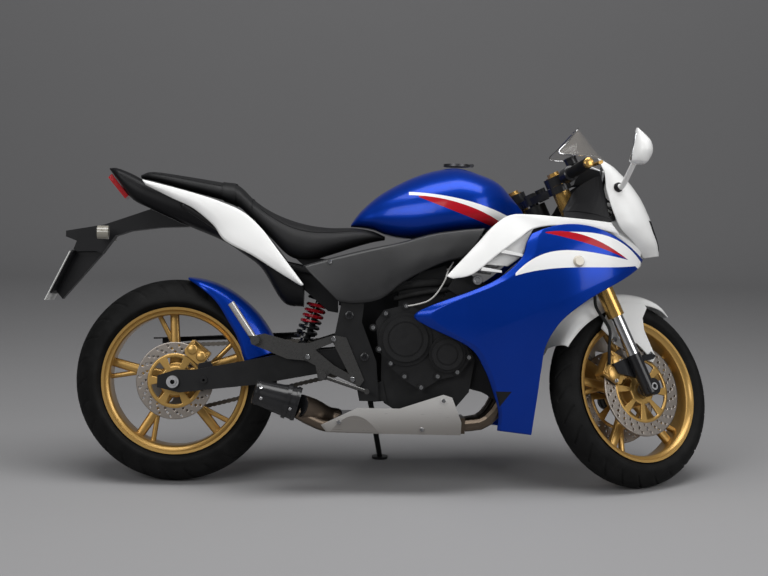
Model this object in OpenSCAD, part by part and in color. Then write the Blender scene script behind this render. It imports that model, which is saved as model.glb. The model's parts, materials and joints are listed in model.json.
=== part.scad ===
// Sport bike parked on its side stand, steering on its left stop.
// Bike axes: x forward from the rear axle, y to the rider's left, z up from the upright ground line.

/* [Stance] */
// Distance between the wheel axles
wheelbase = 1437; // [1400:1:1480]
// Angle of the steering axis from the vertical
rake = 25.25; // [23:0.25:27]
// Distance on the ground from the steering axis back to the front contact point
trail = 98; // [90:1:106]
// Lean to the left on the side stand
lean = 9; // [7:0.5:11]
// Steering angle at either stop
steer_lock = 35; // [30:1:36]

/* [Wheels] */
// Height of the rear tyre over its rim
rear_tyre_h = 86; // [83:1:88]
// Section width of the rear tyre
rear_w = 180; // [170:1:184]
// Height of the front tyre over its rim
front_tyre_h = 71; // [68:1:73]
// Section width of the front tyre
front_w = 120; // [116:1:126]
// Radius of both rims over their flanges
rim_r = 229; // [225:1:232]
// Width of the rear rim over its flanges
rear_rim_w = 152; // [146:1:156]
// Width of the front rim over its flanges
front_rim_w = 100; // [96:1:104]
// Number of spokes in a wheel
spokes = 5; // [5:1:6]
// Radius of the front brake discs
front_disc_r = 148; // [140:1:152]
// Radius of the rear brake disc
rear_disc_r = 120; // [115:1:124]
// Radius of both wheel axles
axle_r = 12; // [10:0.5:13]
// Radius of the hollow through both axles
axle_bore_r = 7; // [5:0.5:8]

/* [Front fork] */
// Distance of each fork leg from the middle
fork_y = 106; // [104:1:108]
// Distance of the fork legs ahead of the steering axis
yoke_offset = 30; // [26:1:34]
// Radius of the gold outer fork tubes
fork_tube_r = 27; // [25:0.5:29]
// Radius of the bright inner fork tubes
fork_slider_r = 20.5; // [19:0.5:22]
// Radius of the steering stem
stem_r = 15; // [13:0.5:17]

/* [Chassis] */
// Radius of the swingarm pivot shaft
pivot_r = 10; // [8:0.5:12]
// Thickness of one swingarm blade
arm_t = 28; // [26:1:30]
// Thickness of one pivot plate
plate_t = 20; // [16:1:22]
// Radius of a seat rail
rail_r = 12; // [10:0.5:14]

/* [Bodywork] */
// Thickness of the painted panels
panel_t = 3; // [2.5:0.25:3.5]
// Thickness of the windscreen
screen_t = 3; // [2.5:0.25:3.5]

/* [Fits] */
// Gap between pieces that seat on each other
seat_gap = 0.3; // [0.2:0.05:0.4]

/* [Hidden] */
$fn = 48;

// Places that the pieces share, in bike axes.
rear_axle_at = [0, 0, 315];
front_axle_at = [wheelbase, 0, 300];
rear_r = rim_r + rear_tyre_h;
front_r = rim_r + front_tyre_h;
steer_foot = [wheelbase + trail, 0, 0];
steer_up = [-sin(rake), 0, cos(rake)];
steer_fwd = [cos(rake), 0, sin(rake)];
// Distance of the front axle ahead of the steering axis, and up along it
axle_offset = (front_axle_at - steer_foot) * steer_fwd;
axle_rise = (front_axle_at - steer_foot) * steer_up;
pivot_at = [585, 0, 402];
arm_in = rear_w / 2 + 29;
arm_out = arm_in + arm_t;
plate_in = arm_out + seat_gap;
plate_out = plate_in + plate_t;
sprocket_y = rear_w / 2 + 14;
rear_disc_y = -80;
front_disc_y = 62;
disc_t = 5;
hub_clear = 0.3;
stem_low = 790;
stem_high = 965;

// Tyre section: a round crown on a ring, so that a leaning tyre still meets the floor on its crown.
rear_crown = rear_w * 0.53;
front_crown = front_w * 0.52;

// Rotation of a point about an axis through the origin.
function turn(p, axis, a) = let(k = axis / norm(axis))
    p * cos(a) + cross(k, p) * sin(a) + k * (k * p) * (1 - cos(a));
function steer_point(p, a) = steer_foot + turn(p - steer_foot, steer_up, a);
function lean_pitch(v, nose) = turn(turn(v, [0, 1, 0], nose), [1, 0, 0], -lean);
function ring_height(n, r, crown) = crown + (r - crown) * sqrt(1 - n[2] * n[2]);
rear_height = ring_height([0, cos(lean), -sin(lean)], rear_r, rear_crown);
function front_gap(nose) =
    let(n = lean_pitch(turn([0, 1, 0], steer_up, steer_lock), nose),
        c = lean_pitch(steer_point(front_axle_at, steer_lock) - rear_axle_at, nose))
    rear_height + c[2] - ring_height(n, front_r, front_crown);
function settle(nose, steps) = steps == 0 ? nose
    : settle(nose + asin(front_gap(nose) / wheelbase), steps - 1);
// Nose-down pitch at which the turned front tyre also meets the floor
nose_down = settle(0, 5);
// The row's origin, seen from the point on the floor under the rear axle
origin_x = 644.9;
origin_y = 47.97;
function park_point(p) = lean_pitch(p - rear_axle_at, nose_down) + [-origin_x, -origin_y, rear_height];

module parked() {
    translate([-origin_x, -origin_y, rear_height]) rotate([-lean, 0, 0]) rotate([0, nose_down, 0])
        translate(-rear_axle_at) children();
}
// The fork's own frame: z up along the steering axis from the ground point, x ahead of it.
module fork_frame() { translate(steer_foot) rotate([0, -rake, 0]) rotate([0, 0, steer_lock]) children(); }
// The front wheel's own frame: y along the axle, seen straight ahead.
module front_wheel_frame() {
    fork_frame() translate([axle_offset, 0, axle_rise]) rotate([0, rake, 0]) children();
}
module both_sides() {
    children();
    mirror([0, 1, 0]) children();
}
// Extrudes an outline drawn in the x-z plane from y = y0 to y1.
module side_plate(y0, y1) { translate([0, y1, 0]) rotate([90, 0, 0]) linear_extrude(y1 - y0) children(); }
module cross_pin(x, z, r, y0, y1) { translate([x, y0, z]) rotate([-90, 0, 0]) cylinder(r = r, h = y1 - y0); }
// A round bar from one point to another.
module bar(a, b, r) {
    d = b - a;
    translate(a) rotate([0, acos(d[2] / norm(d)), atan2(d[1], d[0])]) cylinder(r = r, h = norm(d));
}

// A round bar that tapers from radius r1 to r2.
module cone(a, b, r1, r2) {
    d = b - a;
    translate(a) rotate([0, acos(d[2] / norm(d)), atan2(d[1], d[0])]) cylinder(r1 = r1, r2 = r2, h = norm(d));
}

// Smooth curves and surfaces through a few given points.
function through(a, b, c, d, t) =
    0.5 * (2 * b + (c - a) * t + (2 * a - 5 * b + 4 * c - d) * t * t + (3 * b - a - 3 * c + d) * t * t * t);
function along(pts, s) =
    let(n = len(pts) - 1, i = min(floor(s * n), n - 1), t = s * n - i, b = pts[i], c = pts[i + 1])
    through(i > 0 ? pts[i - 1] : 2 * b - c, b, c, i < n - 1 ? pts[i + 2] : 2 * c - b, t);
function share(i, n) = i / n;
function resample(rows, nu, nv) =
    [for (i = [0:nu]) let(row = along(rows, share(i, nu))) [for (j = [0:nv]) along(row, share(j, nv))]];
function unit(v) = v / max(norm(v), 1e-9);
function grid_normal(g, i, j) =
    let(n = len(g) - 1, m = len(g[0]) - 1,
        du = g[min(i + 1, n)][j] - g[max(i - 1, 0)][j],
        dv = g[i][min(j + 1, m)] - g[i][max(j - 1, 0)])
    unit(cross(du, dv));
function flat(lists) = [for (l = lists) for (p = l) p];
function quad(a, b, c, d) = [[a, b, c], [a, c, d]];
// A sheet of even thickness t behind a grid of points, whose normal (rows across columns) looks outwards.
module sheet(g, t) {
    n = len(g);
    m = len(g[0]);
    inner = [for (i = [0:n - 1]) [for (j = [0:m - 1]) g[i][j] - t * grid_normal(g, i, j)]];
    k = n * m;
    function at(i, j) = i * m + j;
    faces = concat(
        flat([for (i = [0:n - 2]) for (j = [0:m - 2]) quad(at(i, j), at(i, j + 1), at(i + 1, j + 1), at(i + 1, j))]),
        flat([for (i = [0:n - 2]) for (j = [0:m - 2])
            quad(k + at(i, j), k + at(i + 1, j), k + at(i + 1, j + 1), k + at(i, j + 1))]),
        flat([for (i = [0:n - 2]) quad(at(i, 0), at(i + 1, 0), k + at(i + 1, 0), k + at(i, 0))]),
        flat([for (i = [0:n - 2]) quad(at(i, m - 1), k + at(i, m - 1), k + at(i + 1, m - 1), at(i + 1, m - 1))]),
        flat([for (j = [0:m - 2]) quad(at(0, j), k + at(0, j), k + at(0, j + 1), at(0, j + 1))]),
        flat([for (j = [0:m - 2]) quad(at(n - 1, j), at(n - 1, j + 1), k + at(n - 1, j + 1), k + at(n - 1, j))]));
    polyhedron(concat(flat(g), flat(inner)), faces);
}
// A closed body through rings of points, flat at both ends. Rings turn anticlockwise seen along the rows.
module rings(g) {
    n = len(g);
    m = len(g[0]);
    function at(i, j) = i * m + j % m;
    faces = concat(
        flat([for (i = [0:n - 2]) for (j = [0:m - 1]) quad(at(i, j), at(i, j + 1), at(i + 1, j + 1), at(i + 1, j))]),
        [[for (j = [m - 1:-1:0]) at(0, j)]], [[for (j = [0:m - 1]) at(n - 1, j)]]);
    polyhedron(flat(g), faces);
}
// A round pipe through points, with the given number of rings and sides. side is a direction that it never follows.
function pipe_rings(pts, r, n, sides, side) =
    [for (i = [0:n])
        let(s = share(i, n), p = along(pts, s),
            d = unit(along(pts, min(s + 0.01, 1)) - along(pts, max(s - 0.01, 0))),
            a = unit(cross(d, side)), b = cross(a, d))
        [for (j = [0:sides - 1]) p + r * (a * cos(360 * j / sides) + b * sin(360 * j / sides))]];
module pipe(pts, r, n, sides, side = [0, 1, 0]) { rings(pipe_rings(pts, r, n, sides, side)); }

// Body sections. A section ring is crowned above its widest height and fuller below it.
function section(x, top, mid, low, w, half, up_fill, low_fill) =
    [for (j = [0:2 * half - 1])
        let(a = 90 - 180 * j / half, s = sin(a), c = cos(a))
        [x, sign(c) * w * pow(abs(c), s > 0 ? up_fill : low_fill),
            mid + (s > 0 ? (top - mid) * pow(s, 0.9) : (low - mid) * pow(-s, 0.9))]];
function section_rows(table, n, half, up_fill, low_fill) =
    [for (i = [0:n]) let(r = along(table, share(i, n))) section(r[0], r[1], r[2], r[3], r[4], half, up_fill, low_fill)];

// Half width of the side fairing at a place in side view.
fairing_w = 245;
fairing_foot_w = 150;
fairing_wide_x = 1150;
nose_run = 325;
// Height of the crease below which the side leans inwards
function crease_z(x) = 472 + (x - 936) * 0.47;
function side_w(x, z) =
    (z < 650 ? fairing_w - (fairing_w - fairing_foot_w) * pow((650 - z) / 480, 2) : fairing_w - 30 * pow((z - 650) / 150, 2))
    * (x < fairing_wide_x ? 1 : sqrt(max(1 - pow((x - fairing_wide_x) / nose_run, 2), 0.02)))
    - (x < 1000 ? 25 * pow((1000 - x) / 264, 2) : 0) - min(max(crease_z(x) - z, 0) * 0.07, 14);

// Wheels
module tyre_section(r, crown, w, rim_w) {
    h = rim_w / 2 - 6 - seat_gap;
    half = [[rim_r - 11, h], [rim_r + 1, h], [rim_r + 5, rim_w / 2 - 1], [rim_r + 32, w / 2], [r + 1, w / 2]];
    intersection() {
        translate([r - crown, 0]) circle(r = crown, $fn = 96);
        polygon(concat(half, [for (i = [len(half) - 1:-1:0]) [half[i][0], -half[i][1]]]));
    }
}
module spin() { rotate([90, 0, 0]) rotate_extrude($fn = 96) children(); }
module rim_section(rim_w) {
    translate([rim_r - 26, -rim_w / 2]) square([26 - 11 - seat_gap, rim_w]);
    for (y = [-rim_w / 2, rim_w / 2 - 6]) translate([rim_r - 26, y]) square([26, 6]);
}
// One spoke: a straight arm whose outer end forks.
module spoke_outline() {
    polygon([[40, -19], [rim_r - 22, -12], [rim_r - 22, 6], [150, 10], [rim_r - 24, 40], [rim_r - 30, 54], [112, 19], [40, 21]]);
}
module wheel_spokes(first, t) {
    for (k = [0:spokes - 1]) rotate([0, -first - 360 / spokes * k, 0]) side_plate(-t / 2, t / 2) spoke_outline();
}
module rear_tyre() { color("#17181a") translate(rear_axle_at) spin() tyre_section(rear_r, rear_crown, rear_w, rear_rim_w); }
module front_tyre() { color("#17181a") front_wheel_frame() spin() tyre_section(front_r, front_crown, front_w, front_rim_w); }
module rear_rim() {
    color("#b5802c") translate(rear_axle_at) difference() {
        union() {
            spin() rim_section(rear_rim_w);
            wheel_spokes(94, 30);
            cross_pin(0, 0, 50, rear_disc_y + disc_t / 2 + seat_gap, sprocket_y - 3.5 - seat_gap);
        }
        cross_pin(0, 0, axle_r + hub_clear, -140, 140);
    }
}
module front_rim() {
    color("#b5802c") front_wheel_frame() difference() {
        union() {
            spin() rim_section(front_rim_w);
            wheel_spokes(100, 24);
            for (s = [0, 1]) mirror([0, s, 0]) cross_pin(0, 0, 44, -1, front_disc_y - disc_t / 2 - seat_gap);
        }
        cross_pin(0, 0, axle_r + hub_clear, -140, 140);
    }
}
module brake_disc(r, inner, slots) {
    difference() {
        cross_pin(0, 0, r, -disc_t / 2, disc_t / 2);
        cross_pin(0, 0, axle_r + 12, -10, 10);
        for (k = [0:slots - 1]) rotate([0, k * 360 / slots, 0])
            side_plate(-10, 10) polygon([[40, -7], [inner, -inner * 0.2], [inner, inner * 0.2], [40, 7]]);
    }
}
module rear_disc() { color("#8d8f92") translate(rear_axle_at + [0, rear_disc_y, 0]) brake_disc(rear_disc_r, 72, 6); }
module front_discs() {
    color("#8d8f92") front_wheel_frame() for (y = [-front_disc_y, front_disc_y])
        translate([0, y, 0]) brake_disc(front_disc_r, 92, 8);
}
sprocket_teeth = 42;
chain_pitch = 15.875;
sprocket_r = chain_pitch / 2 / sin(180 / sprocket_teeth);
module rear_sprocket() {
    color("#6a6560") translate(rear_axle_at + [0, sprocket_y, 0]) difference() {
        union() {
            cross_pin(0, 0, sprocket_r - 5, -3.5, 3.5);
            for (k = [0:sprocket_teeth - 1]) rotate([0, k * 360 / sprocket_teeth, 0])
                side_plate(-3, 3) polygon([[sprocket_r - 8, -4], [sprocket_r + 3, -1.5], [sprocket_r + 3, 1.5], [sprocket_r - 8, 4]]);
        }
        cross_pin(0, 0, axle_r + 14, -10, 10);
        for (k = [0:5]) rotate([0, k * 60, 0]) cross_pin(72, 0, 16, -10, 10);
    }
}

// Rear axle, swingarm and what they carry
module rear_axle() {
    color("#9a9c9e") translate(rear_axle_at) difference() {
        union() {
            cross_pin(0, 0, axle_r, -arm_out - 16, arm_out + 16);
            for (s = [0, 1]) mirror([0, s, 0]) {
                cross_pin(0, 0, 19, arm_out + seat_gap, arm_out + 12);
                cross_pin(0, 0, 20, sprocket_y + 4.5, arm_in - seat_gap);
            }
        }
        cross_pin(0, 0, axle_bore_r, -200, 200);
    }
}
arm_outline = [[-48, 297], [-48, 333], [8, 352], [62, 352], [360, 412], [560, 432], [612, 402], [560, 370], [250, 310], [20, 282]];
function arm_top(x) = 352 + (x - 62) * (412 - 352) / (360 - 62);
bobbin_at = [95, 322];
bobbin_r = 4;
shock_top = [452, 0, 604];
shock_low = [392, 0, 432];
module swingarm() {
    color("#3c3e41") difference() {
        union() {
            both_sides() side_plate(arm_in, arm_out) polygon(arm_outline);
            side_plate(-arm_in - 1, arm_in + 1) polygon([[408, 352], [408, 402], [500, 412], [500, 358]]);
            cross_pin(pivot_at[0], pivot_at[2], 27, -arm_out, arm_out);
            for (y = [-27, 15]) side_plate(y, y + 12) polygon([[375, 420], [390, 446], [450, 405], [450, 360], [410, 356]]);
            both_sides() cross_pin(bobbin_at[0], bobbin_at[1], 11, arm_out - 1, arm_out + 8);
        }
        cross_pin(0, rear_axle_at[2], axle_r + hub_clear, -200, 200);
        cross_pin(pivot_at[0], pivot_at[2], pivot_r + hub_clear, -200, 200);
        both_sides() cross_pin(bobbin_at[0], bobbin_at[1], bobbin_r, arm_out - 18, arm_out + 20);
        cross_pin(shock_low[0], shock_low[2], 6 + hub_clear, -40, 40);
    }
}
module rear_caliper() {
    color("#b5802c") difference() {
        union() {
            translate(rear_axle_at) rotate([0, -52, 0]) translate([86, rear_disc_y - 31, -36]) cube([52, 53, 72]);
            side_plate(-arm_in + seat_gap, -arm_in + 9) polygon([[20, 338], [30, 420], [96, 430], [130, 350], [90, 330]]);
        }
        translate(rear_axle_at) cross_pin(0, 0, rear_disc_r + 5, rear_disc_y - 8, rear_disc_y + 8);
        translate(rear_axle_at) cross_pin(0, 0, 30, -200, 200);
    }
}
front_sprocket_at = [662, 418];
front_sprocket_r = 40;
// The chain's pitch line: an arc round each sprocket and two straight runs between them.
chain_span = front_sprocket_at - [0, rear_axle_at[2]];
chain_slope = atan2(chain_span[1], chain_span[0]);
chain_taper = asin((sprocket_r - front_sprocket_r) / norm(chain_span));
chain_run = norm(chain_span) * cos(chain_taper);
rear_wrap = sprocket_r * (180 + 2 * chain_taper) * PI / 180;
front_wrap = front_sprocket_r * (180 - 2 * chain_taper) * PI / 180;
chain_length = rear_wrap + front_wrap + 2 * chain_run;
links = round(chain_length / chain_pitch);
function heading(w) = [cos(w), sin(w)];
// A point of the pitch line at a distance along it, moved outwards by off.
function chain_at(s, off) =
    let(up = chain_slope + 90 - chain_taper, down = chain_slope - 90 + chain_taper,
        low_end = [0, rear_axle_at[2]] + (sprocket_r + off) * heading(down),
        top_end = front_sprocket_at + (front_sprocket_r + off) * heading(up))
    s < rear_wrap ? [0, rear_axle_at[2]] + (sprocket_r + off) * heading(up + s / sprocket_r * 180 / PI)
    : s < rear_wrap + chain_run ? low_end + (s - rear_wrap) * heading(down + 90)
    : s < rear_wrap + chain_run + front_wrap
        ? front_sprocket_at + (front_sprocket_r + off) * heading(down + (s - rear_wrap - chain_run) / front_sprocket_r * 180 / PI)
    : top_end + (s - rear_wrap - chain_run - front_wrap) * heading(up + 90);
// Half height of a link plate at each quarter of a link: full at the pin, waisted between pins.
link_halves = [7, 6.3, 4.8, 6.3];
function chain_edge(side) =
    [for (k = [0:4 * links - 1]) chain_at(k * chain_length / (4 * links), side * link_halves[k % 4])];
module chain_plates(y0, y1) {
    side_plate(y0, y1) difference() {
        polygon(chain_edge(1));
        polygon(chain_edge(-1));
    }
}
function on_run(s) = (s > rear_wrap + 58 && s < rear_wrap + chain_run - 20)
    || (s > chain_length - chain_run + 20 && s < chain_length - 58);
module drive_chain() {
    color("#77716a") union() {
        chain_plates(sprocket_y - 8.5, sprocket_y - 4.2);
        chain_plates(sprocket_y + 4.2, sprocket_y + 8.5);
        for (k = [0:links - 1]) let(s = k * chain_length / links)
            if (on_run(s)) cross_pin(chain_at(s, 0)[0], chain_at(s, 0)[1], 4, sprocket_y - 10, sprocket_y + 10, $fn = 16);
    }
}
module chain_guard() {
    color("#2b2c2e") union() {
        side_plate(sprocket_y - 9, sprocket_y + 16)
            polygon([[-86, 440], [-86, 444], [20, 449], [430, 474], [430, 470], [20, 445]]);
        side_plate(sprocket_y + 14, sprocket_y + 17)
            polygon([[-60, 425], [-60, 445], [20, 449], [430, 474], [430, 455], [40, 436]]);
        side_plate(sprocket_y + 15, arm_in + 12) polygon([[250, 456], [250, 462], [310, 466], [310, 460]]);
        side_plate(arm_in + 2, arm_in + 10)
            polygon([[250, arm_top(250) + seat_gap], [250, 462], [310, 466], [310, arm_top(310) + seat_gap]]);
    }
}
// Columns: angle ahead of the axle, gap over the tread, half width, drop of the sides.
hugger_rows = [[84, 11, 55, 8], [76, 14, 94, 28], [64, 16, 101, 52], [50, 16, 101, 80], [36, 18, 101, 96],
    [24, 20, 101, 108], [17, 23, 101, 112]];
// chain_side is the share of the drop that is left on the chain's side.
function guard_grid(rows, tyre_r, n, m, hand, chain_side = 1) =
    [for (i = [0:n]) let(r = along(rows, share(i, n)))
        [for (j = [-m:m])
            let(t = hand * j / m * 90, far = t > 0 ? chain_side : 1,
                q = tyre_r + r[1] - r[3] * far * (1 - pow(abs(cos(t)), 0.7)))
            [q * cos(r[0]), r[2] * (t > 0 ? 0.45 + 0.55 * far : 1) * sign(sin(t)) * pow(abs(sin(t)), 0.7), q * sin(r[0])]]];
module rear_hugger() { color("#0c2f9c") translate(rear_axle_at) sheet(guard_grid(hugger_rows, rear_r, 12, 5, 1, 0.3), panel_t); }
module rear_shock() {
    d = unit(shock_top - shock_low);
    color("#55575a") {
        bar(shock_low + 12 * d, shock_low + 24 * d, 13);
        bar(shock_low + 22 * d, shock_low + 96 * d, 17);
        bar(shock_low + 90 * d, shock_top - 12 * d, 8);
        bar(shock_low + 22 * d, shock_low + 28 * d, 36);
        bar(shock_top - 34 * d, shock_top - 26 * d, 36);
        for (p = [shock_low, shock_top]) cross_pin(p[0], p[2], 15, -15 + seat_gap, 15 - seat_gap);
        for (p = [shock_low, shock_top]) cross_pin(p[0], p[2], 6, -26, 26);
    }
}
spring_turns = 6;
module shock_spring() {
    d = unit(shock_top - shock_low);
    a = [0, 1, 0];
    b = cross(d, a);
    run = norm(shock_top - shock_low) - 62 - 2 * 5.5 - 0.8;
    steps = spring_turns * 14;
    color("#c01a1a") rings([for (i = [0:steps])
        let(s = i / steps, w = 360 * spring_turns * s, c = cos(w) * a + sin(w) * b, p = shock_low + (28 + 5.9 + run * s) * d)
        [for (j = [0:5]) p + 29 * c + 5.5 * (cos(60 * j) * c + sin(60 * j) * d)]]);
}

// Frame and engine
head_low = 838;
head_high = 979;
module main_frame() {
    color("#2e3033") difference() {
        union() {
            translate(steer_foot) rotate([0, -rake, 0]) translate([0, 0, head_low]) cylinder(r = 34, h = head_high - head_low);
            side_plate(-50, 50) polygon([[1150, 770], [1112, 850], [1078, 800], [960, 790], [700, 735], [590, 690],
                [505, 640], [505, 560], [600, 540], [680, 610], [900, 706], [1000, 716], [1120, 740]]);
            side_plate(-plate_out, plate_out) polygon([[512, 558], [512, 610], [575, 610], [583, 559]]);
            both_sides() side_plate(plate_in, plate_out)
                polygon([[512, 562], [583, 562], [577, 510], [624, 390], [634, 268], [574, 268], [550, 386], [494, 465]]);
            for (y = [-27, 15]) side_plate(y, y + 12) polygon([[430, 605], [445, 630], [520, 640], [520, 570], [450, 582]]);
            for (x = [740, 965]) translate([x, 0, 725])
                cylinder(r = 12, h = min(tank_floor(x - 12), tank_floor(x + 12)) - 725 - 2 * seat_gap);
        }
        translate(steer_foot) rotate([0, -rake, 0]) cylinder(r = stem_r + hub_clear, h = 2000);
        cross_pin(shock_top[0], shock_top[2], 6 + hub_clear, -40, 40);
    }
    color("#2e3033") bar(stand_pivot - 24 * stand_axis_bike, stand_pivot + 13 * stand_axis_bike, 6);
    color("#9a9c9e") cross_pin(pivot_at[0], pivot_at[2], pivot_r, -plate_in - 2, plate_in + 2);
}
bank_tilt = 30;
module engine_block() {
    color("#1d1e20") difference() {
        union() {
            side_plate(-139, 139) polygon([[650, 262], [640, 300], [640, 470], [700, 522], [800, 510], [900, 470], [928, 400],
                [912, 300], [862, 240], [700, 232]]);
            translate([838, 0, 470]) rotate([0, bank_tilt, 0]) translate([-66, -136, 0]) cube([132, 272, 130]);
            translate([838, 0, 470]) rotate([0, bank_tilt, 0]) translate([-74, -170, 128]) cube([148, 340, 46]);
            translate([838, 0, 470]) rotate([0, bank_tilt, 0]) translate([-62, -162, 172]) cube([124, 324, 30]);
            for (z = [14:16:110]) translate([838, 0, 470]) rotate([0, bank_tilt, 0]) translate([-72, -138, z]) cube([144, 276, 6]);
            both_sides() side_plate(58, 112) polygon([[690, 515], [690, 612], [760, 668], [836, 690], [850, 600], [800, 500]]);
            both_sides() cross_pin(606, 300, 17, 60, plate_in - seat_gap);
            side_plate(-plate_in + seat_gap, plate_in - seat_gap) polygon([[600, 285], [600, 315], [645, 330], [660, 262]]);
        }
        translate([560, sprocket_y - 18, 350]) cube([165, 100, 136]);
    }
}
clutch_at = [712, 460];
pulse_at = [841, 416];
// Screws round the edge of the right cover
cover_screws = [[612, 494], [632, 428], [668, 385], [711, 346], [763, 313], [813, 348], [873, 362], [908, 408], [650, 538],
    [712, 562], [866, 470]];
cover_y = -166;
module engine_cover_right() {
    color("#242527") difference() {
        union() {
            side_plate(cover_y, -139 - seat_gap) polygon([[620, 512], [630, 424], [664, 376], [709, 336], [763, 303],
                [818, 338], [878, 352], [916, 406], [886, 476], [806, 532], [712, 566], [644, 548]]);
            cross_pin(clutch_at[0], clutch_at[1], 82, cover_y - 8, cover_y + 2);
            cross_pin(clutch_at[0], clutch_at[1], 69, cover_y - 22, cover_y + 2);
            cross_pin(pulse_at[0], pulse_at[1], 56, cover_y - 12, cover_y + 2);
            cross_pin(pulse_at[0], pulse_at[1], 47, cover_y - 24, cover_y + 2);
            for (p = cover_screws) cross_pin(p[0], p[1], 11, cover_y - 6, cover_y + 2);
        }
        for (c = [[clutch_at, 22, 50], [pulse_at, 24, 29]]) difference() {
            cross_pin(c[0][0], c[0][1], c[2] + 5, cover_y - c[1] - 1, cover_y - c[1] + 3);
            cross_pin(c[0][0], c[0][1], c[2], cover_y - c[1] - 2, cover_y - c[1] + 4);
        }
    }
}
module engine_cover_left() {
    color("#242527") union() {
        side_plate(139 + seat_gap, 168) union() {
            translate(front_sprocket_at + [24, 0]) circle(r = 46);
            translate(pulse_at) circle(r = 74);
            polygon([[660, 378], [840, 340], [840, 485], [680, 462]]);
        }
        cross_pin(pulse_at[0], pulse_at[1], 62, 160, 186);
    }
}
radiator_low = [1082, 0, 330];
module radiator() {
    color("#3a3c3f") union() {
        translate(radiator_low) rotate([0, 8, 0]) difference() {
            translate([-16, -170, 0]) cube([32, 340, 290]);
            translate([8, -146, 12]) cube([20, 292, 266]);
        }
        both_sides() translate([1112, 22, 610]) rotate([0, -4, 0]) cylinder(r = 9, h = 118);
    }
}
// Columns: side position at the head, side position at the collector.
header_rows = [[-128, -128], [-46, -84], [46, -34], [128, 14]];
module exhaust_headers() {
    color("#7d5a3f") {
        for (r = header_rows)
            pipe([[984.6, r[0], 573.6], [1018, r[0], 554], [1040, r[0], 505], [1042, r[0], 400], [1018, r[0], 280], [966, (r[0] + r[1]) / 2, 210], [900, r[1], 196]],
                19, 16, 10);
        translate([880, -152, 172]) cube([21, 188, 48]);
    }
}
shield_outline = [[458, 194], [517, 223], [569, 248], [698, 248], [831, 293], [858, 285], [888, 209], [886, 170], [628, 170],
    [476, 172]];
heel_outline = [[464, 195], [517, 217], [585, 211], [628, 199], [648, 174], [478, 175]];
module exhaust_silencer() {
    color("#4a4745") {
        side_plate(-176, 60) polygon([[500, 176], [480, 200], [520, 226], [640, 228], [880 - seat_gap, 222], [880 - seat_gap, 172]]);
        pipe([[510, -108, 204], [472, -122, 212], [432, -162, 236], [392, -200, 252]], 35, 10, 14, [0, 0, 1]);
    }
    color("#191a1b") union() {
        cone([388, -202, 256], [256, -206, 292], 52, 38);
        cone([360, -202.8, 263.6], [348, -203.2, 266.9], 54, 53);
    }
}
module exhaust_shield() {
    color("#b9bbbd") {
        side_plate(-192, -188) polygon(shield_outline);
        side_plate(-195, -191) polygon(heel_outline);
        for (p = [[560, 205], [720, 205], [850, 205]]) cross_pin(p[0], p[1], 9, -189, -176 - seat_gap);
    }
}

// Tank, seat and tail
// Columns: x, top, widest height, floor, half width.
tank_rows = [[538, 815, 811, 807, 40], [565, 853, 828, 806, 78], [610, 896, 838, 799, 102], [660, 930, 843, 781, 124], [730, 966, 846, 775, 148],
    [800, 989, 854, 786, 165], [870, 998, 862, 797, 174], [945, 978, 866, 804, 162], [1000, 953, 866, 806, 120], [1042, 910, 856, 806, 66], [1078, 868, 843, 812, 34]];
function row_at_x(rows, x, a = 0, b = 1) =
    let(m = (a + b) / 2) b - a < 1e-4 ? along(rows, m) : along(rows, m)[0] < x ? row_at_x(rows, x, m, b) : row_at_x(rows, x, a, m);
function tank_floor(x) = row_at_x(tank_rows, x)[3];
filler_x = 868;
filler_r = 44;
module fuel_tank() {
    color("#0c2f9c") union() {
        rings(section_rows(tank_rows, 22, 12, 0.75, 0.5));
        translate([filler_x, 0, 960]) cylinder(r = filler_r, h = 44);
        both_sides() side_plate(9.5, 14) polygon([[cap_hinge[0] - 7, 970], [cap_hinge[0] - 7, 1010], [cap_hinge[0] + 6, 1012], [cap_hinge[0] + 8, 970]]);
    }
}
cap_hinge = [filler_x + filler_r + 6, 0, 1009];
module filler_cap() {
    color("#8b8d90") union() {
        translate([filler_x, 0, 1004 + seat_gap]) cylinder(r = filler_r - 3, h = 8);
        side_plate(-9, 9) polygon([[filler_x + 30, 1005], [filler_x + 30, 1012], [cap_hinge[0], 1014], [cap_hinge[0], 1005]]);
        cross_pin(cap_hinge[0], cap_hinge[2], 5, -9, 9);
    }
}
// Columns: x, top, widest height, underside, half width.
seat_rows = [[-122, 957, 951, 946, 42], [-80, 966, 950, 938, 78], [40, 951, 925, 908, 100], [140, 936, 905, 882, 110], [186, 927, 892, 862, 112], [234, 884, 850, 818, 116],
    [286, 850, 805, 768, 128], [346, 825, 760, 712, 140], [408, 809, 745, 700, 142], [474, 802, 755, 718, 136], [544, 803, 770, 742, 116], [604, 795, 778, 760, 90], [645, 779, 773, 768, 52]];
function seat_floor(x) = row_at_x(seat_rows, x)[3];
module dual_seat() { color("#141415") rings(section_rows(seat_rows, 26, 10, 0.6, 0.5)); }
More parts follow.
